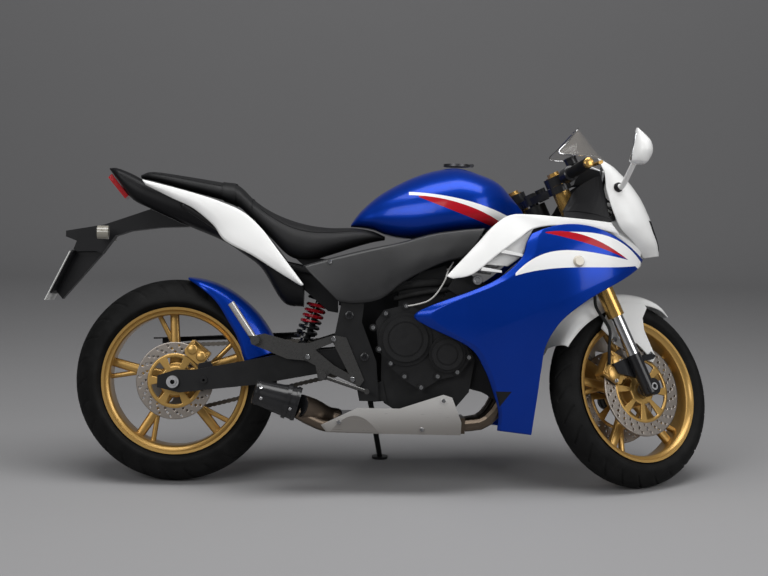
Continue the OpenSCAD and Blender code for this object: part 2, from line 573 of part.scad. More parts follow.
// Columns: lower x, lower z, lower half width, upper x, upper z, upper half width.
function strip_grid(rows, n, m, bulge) =
    [for (i = [0:n]) let(r = along(rows, share(i, n)))
        [for (j = [0:m]) let(t = j / m)
            [r[0] + (r[3] - r[0]) * t, -(r[2] + (r[5] - r[2]) * t + bulge * 4 * t * (1 - t)), r[1] + (r[4] - r[1]) * t]]];
tail_rows = [[-104, 922, 84, -114, 939, 80], [-20, 882, 104, -36, 920, 103], [48, 851, 112, 50, 898, 112], [112, 800, 120, 130, 874, 118], [150, 752, 126, 204, 842, 120],
    [236, 708, 138, 262, 792, 128], [315, 660, 146, 318, 722, 142], [388, 617, 150, 396, 622, 150]];
module tail_side_panels() { color("#e9e9e6") both_sides() sheet(strip_grid(tail_rows, 16, 4, 6), panel_t); }
tray_rows = [[-222, 976, 973, 970, 30], [-196, 975, 955, 938, 62], [-150, 958, 920, 880, 70], [-90, 930, 890, 850, 74], [20, 905, 850, 802, 78], [130, 870, 810, 758, 80],
    [200, 845, 770, 716, 80], [262, 780, 720, 668, 80], [330, 700, 640, 566, 80], [394, 640, 600, 552, 80]];
module tail_undertray() { color("#1a1b1c") rings(section_rows(tray_rows, 18, 7, 0.35, 0.6)); }
function tray_floor(x) = row_at_x(tray_rows, x)[3];
// A round-ended stay that stops just behind a panel at point p, whose outward direction is n.
module stay(from, p, n) {
    c = p - n * (panel_t + 5 + 0.75);
    bar(from, c, 4);
    translate(c) sphere(r = 5, $fn = 12);
}
function strip_point(rows, s, t, bulge) =
    let(r = along(rows, s))
    [r[0] + (r[3] - r[0]) * t, -(r[2] + (r[5] - r[2]) * t + bulge * 4 * t * (1 - t)), r[1] + (r[4] - r[1]) * t];
function strip_normal(rows, s, t, bulge) =
    unit(cross(strip_point(rows, s + 0.01, t, bulge) - strip_point(rows, s - 0.01, t, bulge),
        strip_point(rows, s, t + 0.01, bulge) - strip_point(rows, s, t - 0.01, bulge)));
rail_path = [[545, 95, 640], [300, 95, 690], [20, 95, 860]];
module seat_subframe() {
    color("#2a2b2d") both_sides() union() {
        translate([545, 95, 610 + seat_gap]) cylinder(r = 15, h = 40);
        for (i = [0, 1]) bar(rail_path[i], rail_path[i + 1], rail_r);
        for (p = rail_path) translate(p) sphere(r = rail_r + 1);
        cross_pin(60, 836, 7, row_at_x(tray_rows, 60)[4] + seat_gap, 95);
        mirror([0, 1, 0]) for (s = [0.3, 0.78])
            stay([strip_point(tail_rows, s, 0.3, 6)[0], -95, strip_point(tail_rows, s, 0.3, 6)[0] < 150 ? 836 : 700],
                strip_point(tail_rows, s, 0.3, 6), strip_normal(tail_rows, s, 0.3, 6));
    }
}
module tail_light() {
    color("#a8121a") side_plate(-38, 38)
        polygon([[-214.5, 957], [-161, 890], [-171, 880], [-225, 945]]);
}
bracket_top = [for (x = [30:-30:-90]) [x, tray_floor(x) - seat_gap - 0.2]];
plate_hole_r = 3.5;
plate_hole_gap = 110;
plate_lean = 26;
plate_top = [-328, 716];
// The plate's own frame: z up along it from its upper edge, x out of its front.
module plate_frame() { translate([plate_top[0], 0, plate_top[1]]) rotate([0, plate_lean, 0]) children(); }
module plate_hole_pair() {
    for (y = [-plate_hole_gap / 2, plate_hole_gap / 2])
        plate_frame() translate([-30, y, -40]) rotate([0, 90, 0]) cylinder(r = plate_hole_r, h = 60);
}
module plate_bracket() {
    color("#1a1b1c") difference() {
        union() {
            side_plate(-32, 32) polygon(concat(bracket_top, [[-234, 798], [-354, 776], [-354, 758], [-320, 745], [-330, 718],
                [-318, 712], [-258, 714], [-241, 706], [-200, 763], [-152, 780], [-56, 793]]));
            side_plate(-20, 20) polygon([[-322, 712], [-258, 714], [-241, 706], [-362, 562], [-382, 586]]);
            plate_frame() translate([0, -75, -150]) cube([6, 150, 150]);
        }
        plate_hole_pair();
    }
}
module number_plate() {
    color("#d8d8d4") difference() {
        plate_frame() translate([-2 - seat_gap, -95, -176]) cube([2, 190, 170]);
        plate_hole_pair();
    }
}
module indicators() {
    color("#d9cdb0") {
        both_sides() union() {
            bar([-230, 32 + 3 * seat_gap, 772], [-230, 84, 771], 7);
            translate([-246, 100, 771]) rotate([0, 90, 0]) cylinder(r = 21, h = 34);
        }
        both_sides() mirror([0, 1, 0]) translate(side_point(0.78, 0.5) + side_normal(0.78, 0.5) * seat_gap * 2)
            rotate([0, acos(side_normal(0.78, 0.5)[2]), atan2(side_normal(0.78, 0.5)[1], side_normal(0.78, 0.5)[0])])
                cylinder(r1 = 18, r2 = 13, h = 9);
    }
}
// Columns: lower x, lower z, lower half width, upper x, upper z, upper half width.
cover_rows = [[504, 572, 175, 392, 680, 150], [556, 568, 176, 480, 706, 152], [632, 582, 174, 590, 735, 150], [700, 634, 168, 690, 758, 148],
    [764, 670, 168, 790, 786, 158], [830, 700, 174, 880, 800, 166], [900, 716, 176, 950, 806, 168]];
module frame_covers() { color("#17181a") both_sides() sheet(strip_grid(cover_rows, 14, 4, 8), panel_t); }

// Fairing
// Columns: x and z on the middle line, x and z of the side edge, half width of the side edge.
nose_rows = [[1376, 995, 1298, 1032, 134], [1400, 975, 1317, 985, 148], [1418, 957, 1322, 938, 158], [1449, 915, 1335, 892, 162], [1473, 869, 1350, 852, 164],
    [1492, 823, 1370, 814, 156], [1509, 772, 1418, 770, 121], [1514, 735, 1456, 726, 67]];
screen_rows = [[1250, 1135, 1238, 1121, 52], [1284, 1093, 1206, 1082, 104], [1316, 1054, 1180, 1044, 138], [1364, 1006, 1288, 1040, 131]];
// Across a row the surface turns from facing forwards on the middle line to facing sideways at its edge.
function shield_point(rows, s, a) =
    let(r = along(rows, s), c = pow(max(cos(a), 0), 0.85))
    [r[2] + (r[0] - r[2]) * c, r[4] * sin(a), r[3] + (r[1] - r[3]) * c];
function shield_grid(rows, n, m, back = 0) =
    let(g = [for (i = [0:n]) [for (j = [-m:m]) shield_point(rows, i / n, 90 * j / m)]])
    [for (i = [0:n]) [for (j = [0:2 * m]) g[i][j] - back * grid_normal(g, i, j)]];
lamp_outline = [[24, 838], [104, 846], [96, 806], [44, 754], [24, 748]];
module lamp_prism(grow) {
    both_sides() translate([1400, 0, 0]) rotate([90, 0, 90]) linear_extrude(140)
        polygon([for (p = lamp_outline) [p[0] + grow * (p[0] > 50 ? 1 : -1), p[1] + grow * (p[1] > 800 ? 1 : -1)]]);
}
module nose_cowl() {
    color("#e9e9e6") difference() {
        sheet(shield_grid(nose_rows, 14, 8), panel_t);
        lamp_prism(0);
    }
}
module headlight() {
    color("#cfd4d8") intersection() {
        sheet(shield_grid(nose_rows, 14, 8, panel_t + 0.6), 4);
        lamp_prism(6);
    }
}
module windscreen() { color("#9fa6ab") sheet(shield_grid(screen_rows, 8, 7), screen_t); }
// Columns: lower x, lower z, lower half width, upper x, upper z, upper half width.
mid_rows = [[852, 648, 211, 832, 656, 206], [912, 664, 220, 878, 706, 200], [985, 724, 224, 925, 758, 192], [1049, 774, 219, 972, 811, 188], [1097, 807, 206, 1022, 846, 186],
    [1178, 819, 201, 1089, 850, 194], [1286, 812, 185, 1242, 840, 190], [1366, 796, 158, 1338, 832, 163]];
// Louvres across the air outlet between this panel and the side fairing
louvres = [[[996, 730], [1000, 741], [1078, 724], [1078, 717]], [[936, 675], [940, 686], [1000, 676], [1000, 669]]];
module mid_panels() {
    color("#e9e9e6") both_sides() union() {
        sheet(strip_grid(mid_rows, 16, 4, 3), panel_t);
        for (l = louvres) side_plate(-222.5, -196) polygon(l);
    }
}
// Columns: rear x, rear z, front x, front z, rise of the middle.
side_rows = [[1002, 183, 1108, 171, 0], [1003, 240, 1114, 232, 0], [985, 300, 1121, 300, 0], [955, 372, 1128, 375, 0], [905, 440, 1140, 452, 0], [778, 501, 1181, 523, 0],
    [736, 531, 1245, 578, 0], [781, 563, 1304, 616, 2], [926, 620, 1385, 661, 6], [1000, 660, 1436, 696, 14], [1058, 716, 1442, 706, 30], [1074, 764, 1446, 714, 62], [1088, 790, 1450, 720, 64]];
function side_point(s, t) =
    let(r = along(side_rows, s), x = r[2] + (r[0] - r[2]) * t, z = r[3] + (r[1] - r[3]) * t + r[4] * 4 * t * (1 - t))
    [x, -side_w(x, z) + 10 * max(t - 0.9, 0) / 0.1, z];
function side_normal(s, t) =
    unit(cross(side_point(s + 0.01, t) - side_point(s - 0.01, t), side_point(s, t + 0.01) - side_point(s, t - 0.01)));
vent_outline = [[992, 306], [1041, 307], [1006, 258]];
module side_panel() {
    difference() {
        sheet([for (i = [0:26]) [for (j = [0:10]) side_point(i / 26, j / 10)]], panel_t);
        side_plate(-300, -60) polygon(vent_outline);
    }
}
module side_fairing_right() { color("#0c2f9c") side_panel(); }
module side_fairing_left() { color("#0c2f9c") mirror([0, 1, 0]) side_panel(); }
// Columns: lower x, lower z, lower half width, upper x, upper z, upper half width.
inner_rows = [[1186, 862, 170, 1196, 876, 150], [1232, 864, 171, 1226, 930, 146], [1284, 858, 169, 1280, 968, 138],
    [1336, 844, 155, 1308, 978, 138]];
module inner_panels() { color("#141517") both_sides() sheet(strip_grid(inner_rows, 8, 3, 0), panel_t); }
stay_root = steer_foot + 905 * steer_up + (34 + seat_gap) * steer_fwd;
stay_end = steer_foot + 905 * steer_up + 190 * steer_fwd;
function shield_normal(rows, s, a) =
    unit(cross(shield_point(rows, s + 0.01, a) - shield_point(rows, s - 0.01, a),
        shield_point(rows, s, a + 1) - shield_point(rows, s, a - 1)));
module fairing_stay() {
    $fn = 14;
    color("#26272a") union() {
        bar(stay_root, stay_end, 12);
        bar(stay_end - [0, 140, 0], stay_end + [0, 140, 0], 9);
        both_sides() mirror([0, 1, 0]) {
            stay(stay_end - [0, 132, 0], shield_point(nose_rows, 0.45, -70), shield_normal(nose_rows, 0.45, -70));
            stay(stay_end - [0, 120, 0], side_point(0.86, 0.55), side_normal(0.86, 0.55));
            stay(stay_end - [0, 107, 0], strip_point(mid_rows, 0.8, 0.5, 3), strip_normal(mid_rows, 0.8, 0.5, 3));
            stay(stay_end - [0, 94, 0], strip_point(inner_rows, 0.6, 0.4, 0), strip_normal(inner_rows, 0.6, 0.4, 0));
            stay(stay_end - [0, 24, 0], shield_point(screen_rows, 0.92, -30), shield_normal(screen_rows, 0.92, -30));
            stay(stay_end - [0, 38, 0], shield_point(nose_rows, 0.72, -50) - 8 * shield_normal(nose_rows, 0.72, -50),
                shield_normal(nose_rows, 0.72, -50));
        }
    }
}
module dash_panel() {
    color("#111213") union() {
        side_plate(-70, 70) polygon([[1232, 952], [1250, 1012], [1312, 996], [1322, 956]]);
        bar(stay_end + [-14, 0, 12 + seat_gap + 0.2], stay_end + [-14, 0, 60], 8);
    }
}
// Columns: height, half length, half width, x of the middle.
mirror_rows = [[1003, 20, 38, 1393], [1012, 28, 52, 1395], [1040, 33, 60, 1402], [1070, 27, 54, 1402], [1092, 14, 36, 1395],
    [1109, 3, 12, 1388]];
mirror_y = -330;
folded_at = [1432, 192, 900];
// One leaf-shaped head, from rings given by their sizes; long and wide are the directions of those sizes.
module mirror_head(centre, long, wide) {
    rings([for (i = [0:10]) let(r = along(mirror_rows, i / 10))
        [for (j = [0:13]) centre + [0, 0, r[0] - 1050] + (r[3] - 1397 + r[1] * cos(360 * j / 14)) * long
            + r[2] * sin(360 * j / 14) * wide]]);
}
module mirror_base(p, n) { bar(p + n * seat_gap * 2, p + n * 10, 15); }
// The right mirror stands out for the rider; the left one is folded flat beside the nose.
module mirrors() {
    p = shield_point(nose_rows, 0.3, -72);
    n = shield_normal(nose_rows, 0.3, -72);
    q = [p[0], -p[1], p[2]];
    m = [n[0], -n[1], n[2]];
    color("#e9e9e6") {
        union() {
            mirror_base(p, n);
            bar(p + n * 6, p + n * 34, 9);
            bar(p + n * 32, [1396, mirror_y, 1040], 9);
            translate(p + n * 33) sphere(r = 9.5);
            mirror_head([1397, mirror_y, 1050], [1, 0, 0], [0, -1, 0]);
        }
        union() {
            mirror_base(q, m);
            bar(q + m * 6, q + m * 34, 9);
            bar(q + m * 32, folded_at, 9);
            translate(q + m * 33) sphere(r = 9.5);
            mirror_head(folded_at, [0, 0.8, 0], [1, 0, 0]);
        }
    }
}

// Footrests and side stand
// The rider's hanger is an open triangle with a lug for the peg, and an arm back to the pillion peg.
hanger_outline = [[240, 462], [280, 469], [381, 442], [417, 443], [491, 468], [530, 462], [588, 332], [574, 312], [482, 352],
    [472, 330], [446, 332], [438, 374], [408, 389], [350, 393], [286, 418], [240, 436]];
hanger_hole = [[436, 422], [490, 445], [541, 350], [494, 376]];
peg_at = [460, 346];
pillion_at = [252, 449];
// toe is the end of the foot pedal in side view.
module footrest_side(toe) {
    y0 = plate_out + seat_gap;
    side_plate(y0, y0 + 9) difference() {
        polygon(hanger_outline);
        polygon(hanger_hole);
    }
    cross_pin(peg_at[0], peg_at[1], 11, y0 + 21, y0 + 98);
    cross_pin(peg_at[0], peg_at[1], 16, y0 + 4, y0 + 22);
    bar([176, y0 + 19, 561], [pillion_at[0] - 4, y0 + 19, pillion_at[1] + 5], 10.5);
    cross_pin(pillion_at[0], pillion_at[1], 14, y0 + 4, y0 + 34);
    bar([peg_at[0] + 12, y0 + 16, peg_at[1] - 8], [toe[0], y0 + 26, toe[1]], 6);
    cross_pin(toe[0], toe[1], 8, y0 + 18, y0 + 52);
}
module footrests_right() { color("#8f9193") mirror([0, 1, 0]) footrest_side([596, 299]); }
module footrests_left() { color("#8f9193") footrest_side([664, 322]); }
stand_pivot = [606, plate_out + 19, 285];
stand_foot_r = 26;
// Where the foot stands on the floor, and the leg's direction down and folded, in the row's axes
stand_pivot_row = park_point(stand_pivot);
stand_foot_row = [park_point([650, 0, 0])[0], stand_pivot_row[1] + 96, 0];
stand_down = unit(stand_foot_row + [0, 0, 8] - stand_pivot_row);
stand_folded = unit(lean_pitch([-1, 0.06, 0.04], nose_down));
stand_axis = unit(cross(stand_down, stand_folded));
stand_turn = acos(stand_down * stand_folded);
stand_axis_bike = turn(turn(stand_axis, [1, 0, 0], lean), [0, 1, 0], -nose_down);
module side_stand() {
    color("#2a2b2d") {
        difference() {
            union() {
                bar(stand_pivot_row - 10 * stand_axis, stand_pivot_row + 10 * stand_axis, 15);
                bar(stand_pivot_row + 8 * stand_down, stand_foot_row + [0, 0, 6], 9);
            }
            bar(stand_pivot_row - 30 * stand_axis, stand_pivot_row + 30 * stand_axis, 6 + hub_clear);
        }
        translate(stand_foot_row) cylinder(r = stand_foot_r, h = 8);
    }
}

// Front fork
module leg_pair() { for (y = [-fork_y, fork_y]) translate([yoke_offset, y, 0]) children(); }
fork_top = 1050;
tube_low = 560;
casting_top = 430;
casting_r = 22;
module yoke_outline() {
    difference() {
        union() {
            circle(r = 34);
            for (y = [-fork_y, fork_y]) translate([yoke_offset, y]) circle(r = fork_tube_r + 11);
            polygon([[-26, -22], [yoke_offset - 30, -fork_y], [yoke_offset + 30, -fork_y], [40, -40], [40, 40],
                [yoke_offset + 30, fork_y], [yoke_offset - 30, fork_y], [-26, 22]]);
        }
        for (y = [-fork_y, fork_y]) translate([yoke_offset, y]) circle(r = fork_tube_r + seat_gap);
    }
}
module fork_yokes() {
    color("#242527") fork_frame() union() {
        translate([0, 0, 794]) linear_extrude(40) yoke_outline();
        translate([0, 0, 985]) linear_extrude(23) yoke_outline();
        translate([0, 0, 790]) cylinder(r = stem_r, h = 230);
        translate([0, 0, 1007]) cylinder(r = 22, h = 11, $fn = 6);
        translate([48, 0, 982]) cylinder(r = 17, h = 40);
    }
}
module fork_tubes() {
    color("#b5802c") fork_frame() leg_pair() {
        translate([0, 0, tube_low]) cylinder(r = fork_tube_r, h = fork_top - 10 - tube_low);
        translate([0, 0, fork_top - 11]) cylinder(r = 19, h = 11);
    }
}
module fork_sliders() {
    color("#c9cbcd") fork_frame() leg_pair()
        translate([0, 0, casting_top + seat_gap]) cylinder(r = fork_slider_r, h = tube_low - casting_top - 2 * seat_gap);
}
guard_boss = [38, 106];
module fork_lowers() {
    color("#1f2022") {
        difference() {
            union() {
                fork_frame() leg_pair() translate([0, 0, axle_rise - 14]) cylinder(r = casting_r, h = casting_top - axle_rise + 14);
                front_wheel_frame() for (s = [0, 1]) mirror([0, s, 0]) {
                    cross_pin(0, 0, 27, fork_y - 22, fork_y + 18);
                    side_plate(fork_y - 23.5, fork_y - 14) polygon([[-110, 40], [-130, 70], [-72, 92], [-46, 80], [-30, 30]]);
                    side_plate(fork_y - 30, fork_y - 14) polygon([[-50, 76], [-58, 96], [guard_boss[0], guard_boss[1] + 9], [guard_boss[0] + 10, guard_boss[1]], [guard_boss[0], guard_boss[1] - 9]]);
                }
            }
            front_wheel_frame() cross_pin(0, 0, axle_r + hub_clear, -200, 200);
        }
    }
}
module front_axle() {
    color("#9a9c9e") front_wheel_frame() difference() {
        union() {
            cross_pin(0, 0, axle_r, -fork_y - 22, fork_y + 22);
            for (s = [0, 1]) mirror([0, s, 0]) cross_pin(0, 0, 18, front_disc_y + 5, fork_y - 22 - seat_gap);
        }
        cross_pin(0, 0, axle_bore_r, -200, 200);
    }
}
module front_calipers() {
    color("#b5802c") front_wheel_frame() for (s = [0, 1]) mirror([0, s, 0]) difference() {
        rotate([0, -152, 0]) translate([88, front_disc_y - 21, -44]) cube([78, fork_y - 24 - front_disc_y + 21, 88]);
        cross_pin(0, 0, front_disc_r + 6, front_disc_y - 8, front_disc_y + 8);
        cross_pin(0, 0, 86, 0, 200);
    }
}
// Columns: angle, gap over the tread, half width, drop of the sides.
guard_rows = [[56, 18, 26, 8], [68, 18, 58, 26], [84, 18, 70, 40], [104, 20, 70, 48], [124, 22, 70, 48],
    [144, 26, 68, 36], [157, 30, 62, 26]];
// The strut on each side: a front leg to the boss on the fork, a rear leg to its screw.
strut_outline = [[-150, 186], [-117, 160], [-103, 140], [-66, 124], [-62, 150], [-10, 147], [26, 116],
    [guard_boss[0] - 8, guard_boss[1] - 12], [guard_boss[0] + 10, guard_boss[1] - 16], [62, 109], [24, 193], [22, 232],
    [44, 268], [30, 281], [-50, 277], [-108, 262]];
module front_mudguard() {
    color("#e9e9e6") front_wheel_frame() union() {
        sheet(guard_grid(guard_rows, front_r, 14, 5, -1), panel_t);
        for (s = [0, 1]) mirror([0, s, 0]) side_plate(69.5, fork_y - 30 - seat_gap) polygon(strut_outline);
    }
}
bar_root = [28, fork_y + 30, 1022];
bar_tip = [-34, 338, 1031];
module handlebars() {
    color("#1b1c1e") fork_frame() both_sides() union() {
        difference() {
            translate([yoke_offset, fork_y, 1009]) cylinder(r = fork_tube_r + 9, h = 29);
            translate([yoke_offset, fork_y, 1000]) cylinder(r = fork_tube_r + seat_gap, h = 60);
        }
        bar(bar_root, bar_tip, 11);
        bar([70, 150, 1030], [58, 188, 1031], 15);
        bar([62, 160, 1030], [18, 172, 1024], 9);
        bar([68, 184, 1028], [24, 330, 1018], 5);
        bar(bar_tip - 0.5 * unit(bar_tip - bar_root), bar_tip + 14 * unit(bar_tip - bar_root), 14);
    }
}
module grips() {
    d = unit(bar_tip - bar_root);
    l = norm(bar_tip - bar_root);
    color("#161617") fork_frame() both_sides() difference() {
        bar(bar_root + (l - 126) * d, bar_tip - 1 * d, 17);
        bar(bar_root, bar_tip + 10 * d, 11 + seat_gap);
    }
}

parked() main_frame();
parked() seat_subframe();
parked() swingarm();
parked() rear_axle();
parked() rear_caliper();
parked() drive_chain();
parked() chain_guard();
parked() rear_hugger();
parked() rear_shock();
parked() shock_spring();
parked() engine_block();
parked() engine_cover_right();
parked() engine_cover_left();
parked() radiator();
parked() exhaust_headers();
parked() exhaust_silencer();
parked() exhaust_shield();
parked() fuel_tank();
parked() filler_cap();
parked() dual_seat();
parked() tail_side_panels();
parked() tail_undertray();
parked() tail_light();
parked() plate_bracket();
parked() number_plate();
parked() indicators();
parked() frame_covers();
parked() nose_cowl();
parked() headlight();
parked() windscreen();
parked() mid_panels();
parked() side_fairing_right();
parked() side_fairing_left();
parked() inner_panels();
parked() dash_panel();
parked() mirrors();
parked() fairing_stay();
parked() footrests_right();
parked() footrests_left();
side_stand();
parked() fork_yokes();
parked() fork_tubes();
parked() fork_sliders();
parked() fork_lowers();
parked() handlebars();
parked() grips();
parked() front_mudguard();
parked() front_calipers();
parked() front_axle();
parked() front_tyre();
parked() front_rim();
parked() front_discs();
parked() rear_tyre();
parked() rear_rim();
parked() rear_disc();
parked() rear_sprocket();
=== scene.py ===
"""Sport bike on its side stand: panels, wheels, brakes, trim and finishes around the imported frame."""
import json
import math

import bmesh
import bpy
import numpy as np
from bpy.props import FloatProperty, FloatVectorProperty, IntProperty, PointerProperty
from mathutils import Matrix, Vector


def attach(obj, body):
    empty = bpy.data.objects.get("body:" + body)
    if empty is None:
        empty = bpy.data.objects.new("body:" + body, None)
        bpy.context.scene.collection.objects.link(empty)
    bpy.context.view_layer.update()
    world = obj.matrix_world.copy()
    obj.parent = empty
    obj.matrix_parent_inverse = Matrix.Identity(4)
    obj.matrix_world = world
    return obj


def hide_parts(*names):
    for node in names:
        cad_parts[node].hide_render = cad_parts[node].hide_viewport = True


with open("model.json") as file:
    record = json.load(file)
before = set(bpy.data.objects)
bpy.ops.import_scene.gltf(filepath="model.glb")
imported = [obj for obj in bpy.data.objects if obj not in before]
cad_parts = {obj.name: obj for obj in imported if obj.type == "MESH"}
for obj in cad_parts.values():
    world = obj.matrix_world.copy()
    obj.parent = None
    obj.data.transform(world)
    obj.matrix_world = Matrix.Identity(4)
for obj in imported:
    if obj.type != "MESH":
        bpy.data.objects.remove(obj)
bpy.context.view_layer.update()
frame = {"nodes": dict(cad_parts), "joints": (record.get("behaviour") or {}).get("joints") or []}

bl_info = {
    "name": "Sport bike dressing",
    "version": (1, 0, 0),
    "blender": (4, 5, 0),
    "location": "3D View > Sidebar > Sport bike",
    "description": "Dresses the packed sport bike with panels, wheels, brakes, trim and finishes",
    "category": "Object",
}

# Bike axes: x forward from the rear axle, y to the rider's left and z up from the upright ground line, in
# millimetres.
MM = 0.001
RAKE = math.radians(25.25)
TRAIL = 98.0
WHEELBASE = 1437.0
REAR_R = 315.0
REAR_W = 180.0
FRONT_R = 300.0
FRONT_W = 120.0
RIM_R = 229.0
REAR_RIM_W = 152.0
FRONT_RIM_W = 100.0
SPOKES = 5
FORK_Y = 106.0
PANEL_T = 3.0
JOINTS = {joint["name"]: joint for joint in frame["joints"]}
STEER_LOCK = math.radians(JOINTS["steering"]["range_deg"][1] / 2)
STEER_FOOT = np.array([WHEELBASE + TRAIL, 0.0, 0.0])
REAR_AXLE = np.array([0.0, 0.0, REAR_R])
FRONT_AXLE = np.array([WHEELBASE, 0.0, FRONT_R])
STEER_UP = np.array([-math.sin(RAKE), 0.0, math.cos(RAKE)])
STEER_FWD = np.array([math.cos(RAKE), 0.0, math.sin(RAKE)])
REAR_DISC_R = 120
REAR_DISC_Y = -80.0
FRONT_DISC_R = 148
FRONT_DISC_Y = 62.0


def unit(v):
    """Vectors divided by their length."""
    return v / np.maximum(np.linalg.norm(v, axis=-1, keepdims=True), 1e-9)


def bike_axes():
    """The bike's x, y and z in the row frame, as columns, from the rear wheel's and the steering's axes."""
    left = unit(np.array(JOINTS["rear_wheel_spin"]["axis"], float))
    up_steer = -unit(np.array(JOINTS["steering"]["axis"], float))
    ahead = np.cross(left, up_steer)
    x = math.cos(RAKE) * ahead - math.sin(RAKE) * up_steer
    return np.stack([x, left, np.cross(x, left)], axis=1)


AXES = bike_axes()
AXLE_ROW = np.array(JOINTS["rear_wheel_spin"]["pos_m"], float)


def park(p):
    """Bike millimetres to row metres: turned by the bike's axes about the rear axle."""
    return AXLE_ROW + (np.asarray(p, float) - REAR_AXLE) * MM @ AXES.T


def steer(p):
    """The fork's own frame, z up along the steering axis and x ahead of it, to bike millimetres on the left
    stop."""
    p = np.asarray(p, float)
    c, s = math.cos(STEER_LOCK), math.sin(STEER_LOCK)
    x = p[..., 0] * c - p[..., 1] * s
    y = p[..., 0] * s + p[..., 1] * c
    left = np.array([0, 1, 0])
    return STEER_FOOT + x[..., None] * STEER_FWD + y[..., None] * left + p[..., 2:] * STEER_UP


def front_wheel(p):
    """The front wheel's own frame, y along its axle, to bike millimetres on the left stop."""
    p = np.asarray(p, float)
    c, s = math.cos(RAKE), math.sin(RAKE)
    axle = FRONT_AXLE - STEER_FOOT
    x = p[..., 0] * c + p[..., 2] * s + axle @ STEER_FWD
    z = -p[..., 0] * s + p[..., 2] * c + axle @ STEER_UP
    return steer(np.stack([x, p[..., 1], z], -1))


def rear_wheel(p):
    """The rear wheel's own frame to bike millimetres."""
    return np.asarray(p, float) + REAR_AXLE


def curve(points, s):
    """A Catmull-Rom curve through the points, at shares s of the way; both ends run on straight."""
    p = np.asarray(points, float)
    p = np.concatenate([2 * p[:1] - p[1:2], p, 2 * p[-1:] - p[-2:-1]])
    n = len(p) - 3
    t = np.atleast_1d(np.asarray(s, float)) * n
    i = np.clip(np.floor(t).astype(int), 0, n - 1)
    t = (t - i).reshape((-1,) + (1,) * (p.ndim - 1))
    a, b, c, d = p[i], p[i + 1], p[i + 2], p[i + 3]
    return 0.5 * (2 * b + (c - a) * t + (2 * a - 5 * b + 4 * c - d) * t**2 + (3 * b - a - 3 * c + d) * t**3)


def shares(n):
    """n evenly spread shares from 0 to 1."""
    return np.linspace(0, 1, n)


def turns(n):
    """n evenly spread angles of a full turn."""
    return 2 * np.pi * np.arange(n) / n


class Shape:
    """Points and faces gathered from several grids."""

    def __init__(self):
        self.points = []
        self.faces = []
        self.count = 0

    def add(self, points, faces):
        """Adds points and the faces that join them."""
        points = np.asarray(points, float).reshape(-1, 3)
        self.points.append(points)
        self.faces.extend((np.asarray(faces) + self.count).tolist())
        self.count += len(points)
        return self

    def grid(self, g, wrap_rows=False, wrap_cols=False, caps=False, keep=None):
        """Quads over a grid of points. Faces look along rows x columns; caps close the first and last row,
        and keep marks the quads that stay."""
        g = np.asarray(g, float)
        n, m = g.shape[:2]
        i = np.arange(n if wrap_rows else n - 1)[:, None]
        j = np.arange(m if wrap_cols else m - 1)[None, :]
        i2, j2 = (i + 1) % n, (j + 1) % m
        quads = np.stack(np.broadcast_arrays(i * m + j, i2 * m + j, i2 * m + j2, i * m + j2), -1)
        start = self.count
        self.add(g, quads.reshape(-1, 4) if keep is None else quads[keep])
        if caps:
            self.faces.append([start + k for k in range(m)])
            self.faces.append([start + (n - 1) * m + k for k in range(m - 1, -1, -1)])
        return self

    def place(self, where):
        """The same shape with its points carried through a frame."""
        self.points = [where(p) for p in self.points]
        return self


def sweep(path, profile, side=(0, 1, 0), scale=None):
    """A profile of (a, b) offsets carried along a path, a across the path and b along side, scaled per
    station."""
    path = np.asarray(path, float)
    d = unit(np.gradient(path, axis=0))
    a = unit(np.cross(d, np.broadcast_to(np.asarray(side, float), d.shape)))
    b = np.cross(a, d)
    k = np.ones((len(path), 2)) if scale is None else np.asarray(scale, float)
    pa = profile[None, :, 0] * k[:, :1]
    pb = profile[None, :, 1] * k[:, 1:]
    return path[:, None] + a[:, None] * pa[..., None] + b[:, None] * pb[..., None]


def round_box(a, b, power=4.0, m=20):
    """A superellipse of half sizes a and b as m points: |x/a|^power + |y/b|^power = 1."""
    c, s = np.cos(turns(m)), np.sin(turns(m))
    return np.stack([a * np.sign(c) * abs(c) ** (2 / power), b * np.sign(s) * abs(s) ** (2 / power)], -1)


def ring(r, m=14):
    """A circle of m points."""
    return round_box(r, r, 2.0, m)


def tube(shape, points, r, n=None, sides=12, side=(0, 1, 0)):
    """A round tube of radius r on a smooth curve through the points, closed at both ends."""
    path = curve(points, shares(n or 8 * (len(points) - 1) + 1))
    return shape.grid(sweep(path, ring(r, sides), side), wrap_cols=True, caps=True)


def revolve(shape, profile, n):
    """A closed profile of (radius, y) turned about the y axis by n angles."""
    t = turns(n)[:, None]
    p = np.asarray(profile, float)[None]
    g = np.stack(np.broadcast_arrays(np.cos(t) * p[..., 0], p[..., 1], np.sin(t) * p[..., 0]), -1)
    return shape.grid(g, wrap_rows=True, wrap_cols=True)


def lathe(shape, profile, at, axis, n=24, loop=False):
    """A profile of (radius, height) turned about an axis from a point, closed where its radius is nought or
    by its own loop."""
    at, axis = np.asarray(at, float), unit(np.asarray(axis, float))
    a = unit(np.cross(axis, [0.31, 0.2, 0.93]))
    b = np.cross(axis, a)
    t = turns(n)[:, None]
    p = np.asarray(profile, float)[None]
    turn = np.cos(t) * a + np.sin(t) * b
    return shape.grid(at + p[..., :1] * turn[:, None] + p[..., 1:] * axis, wrap_rows=True, wrap_cols=loop)


def bolt(shape, at, axis, r=7.0, h=6.0):
    """A cap screw: a round head with a chamfer and a round socket."""
    p = [[0, h * 0.45], [r * 0.5, h * 0.45], [r * 0.5, h * 0.96], [r * 0.86, h], [r, h * 0.8], [r, 0], [0, 0]]
    return lathe(shape, p, at, axis, 12)


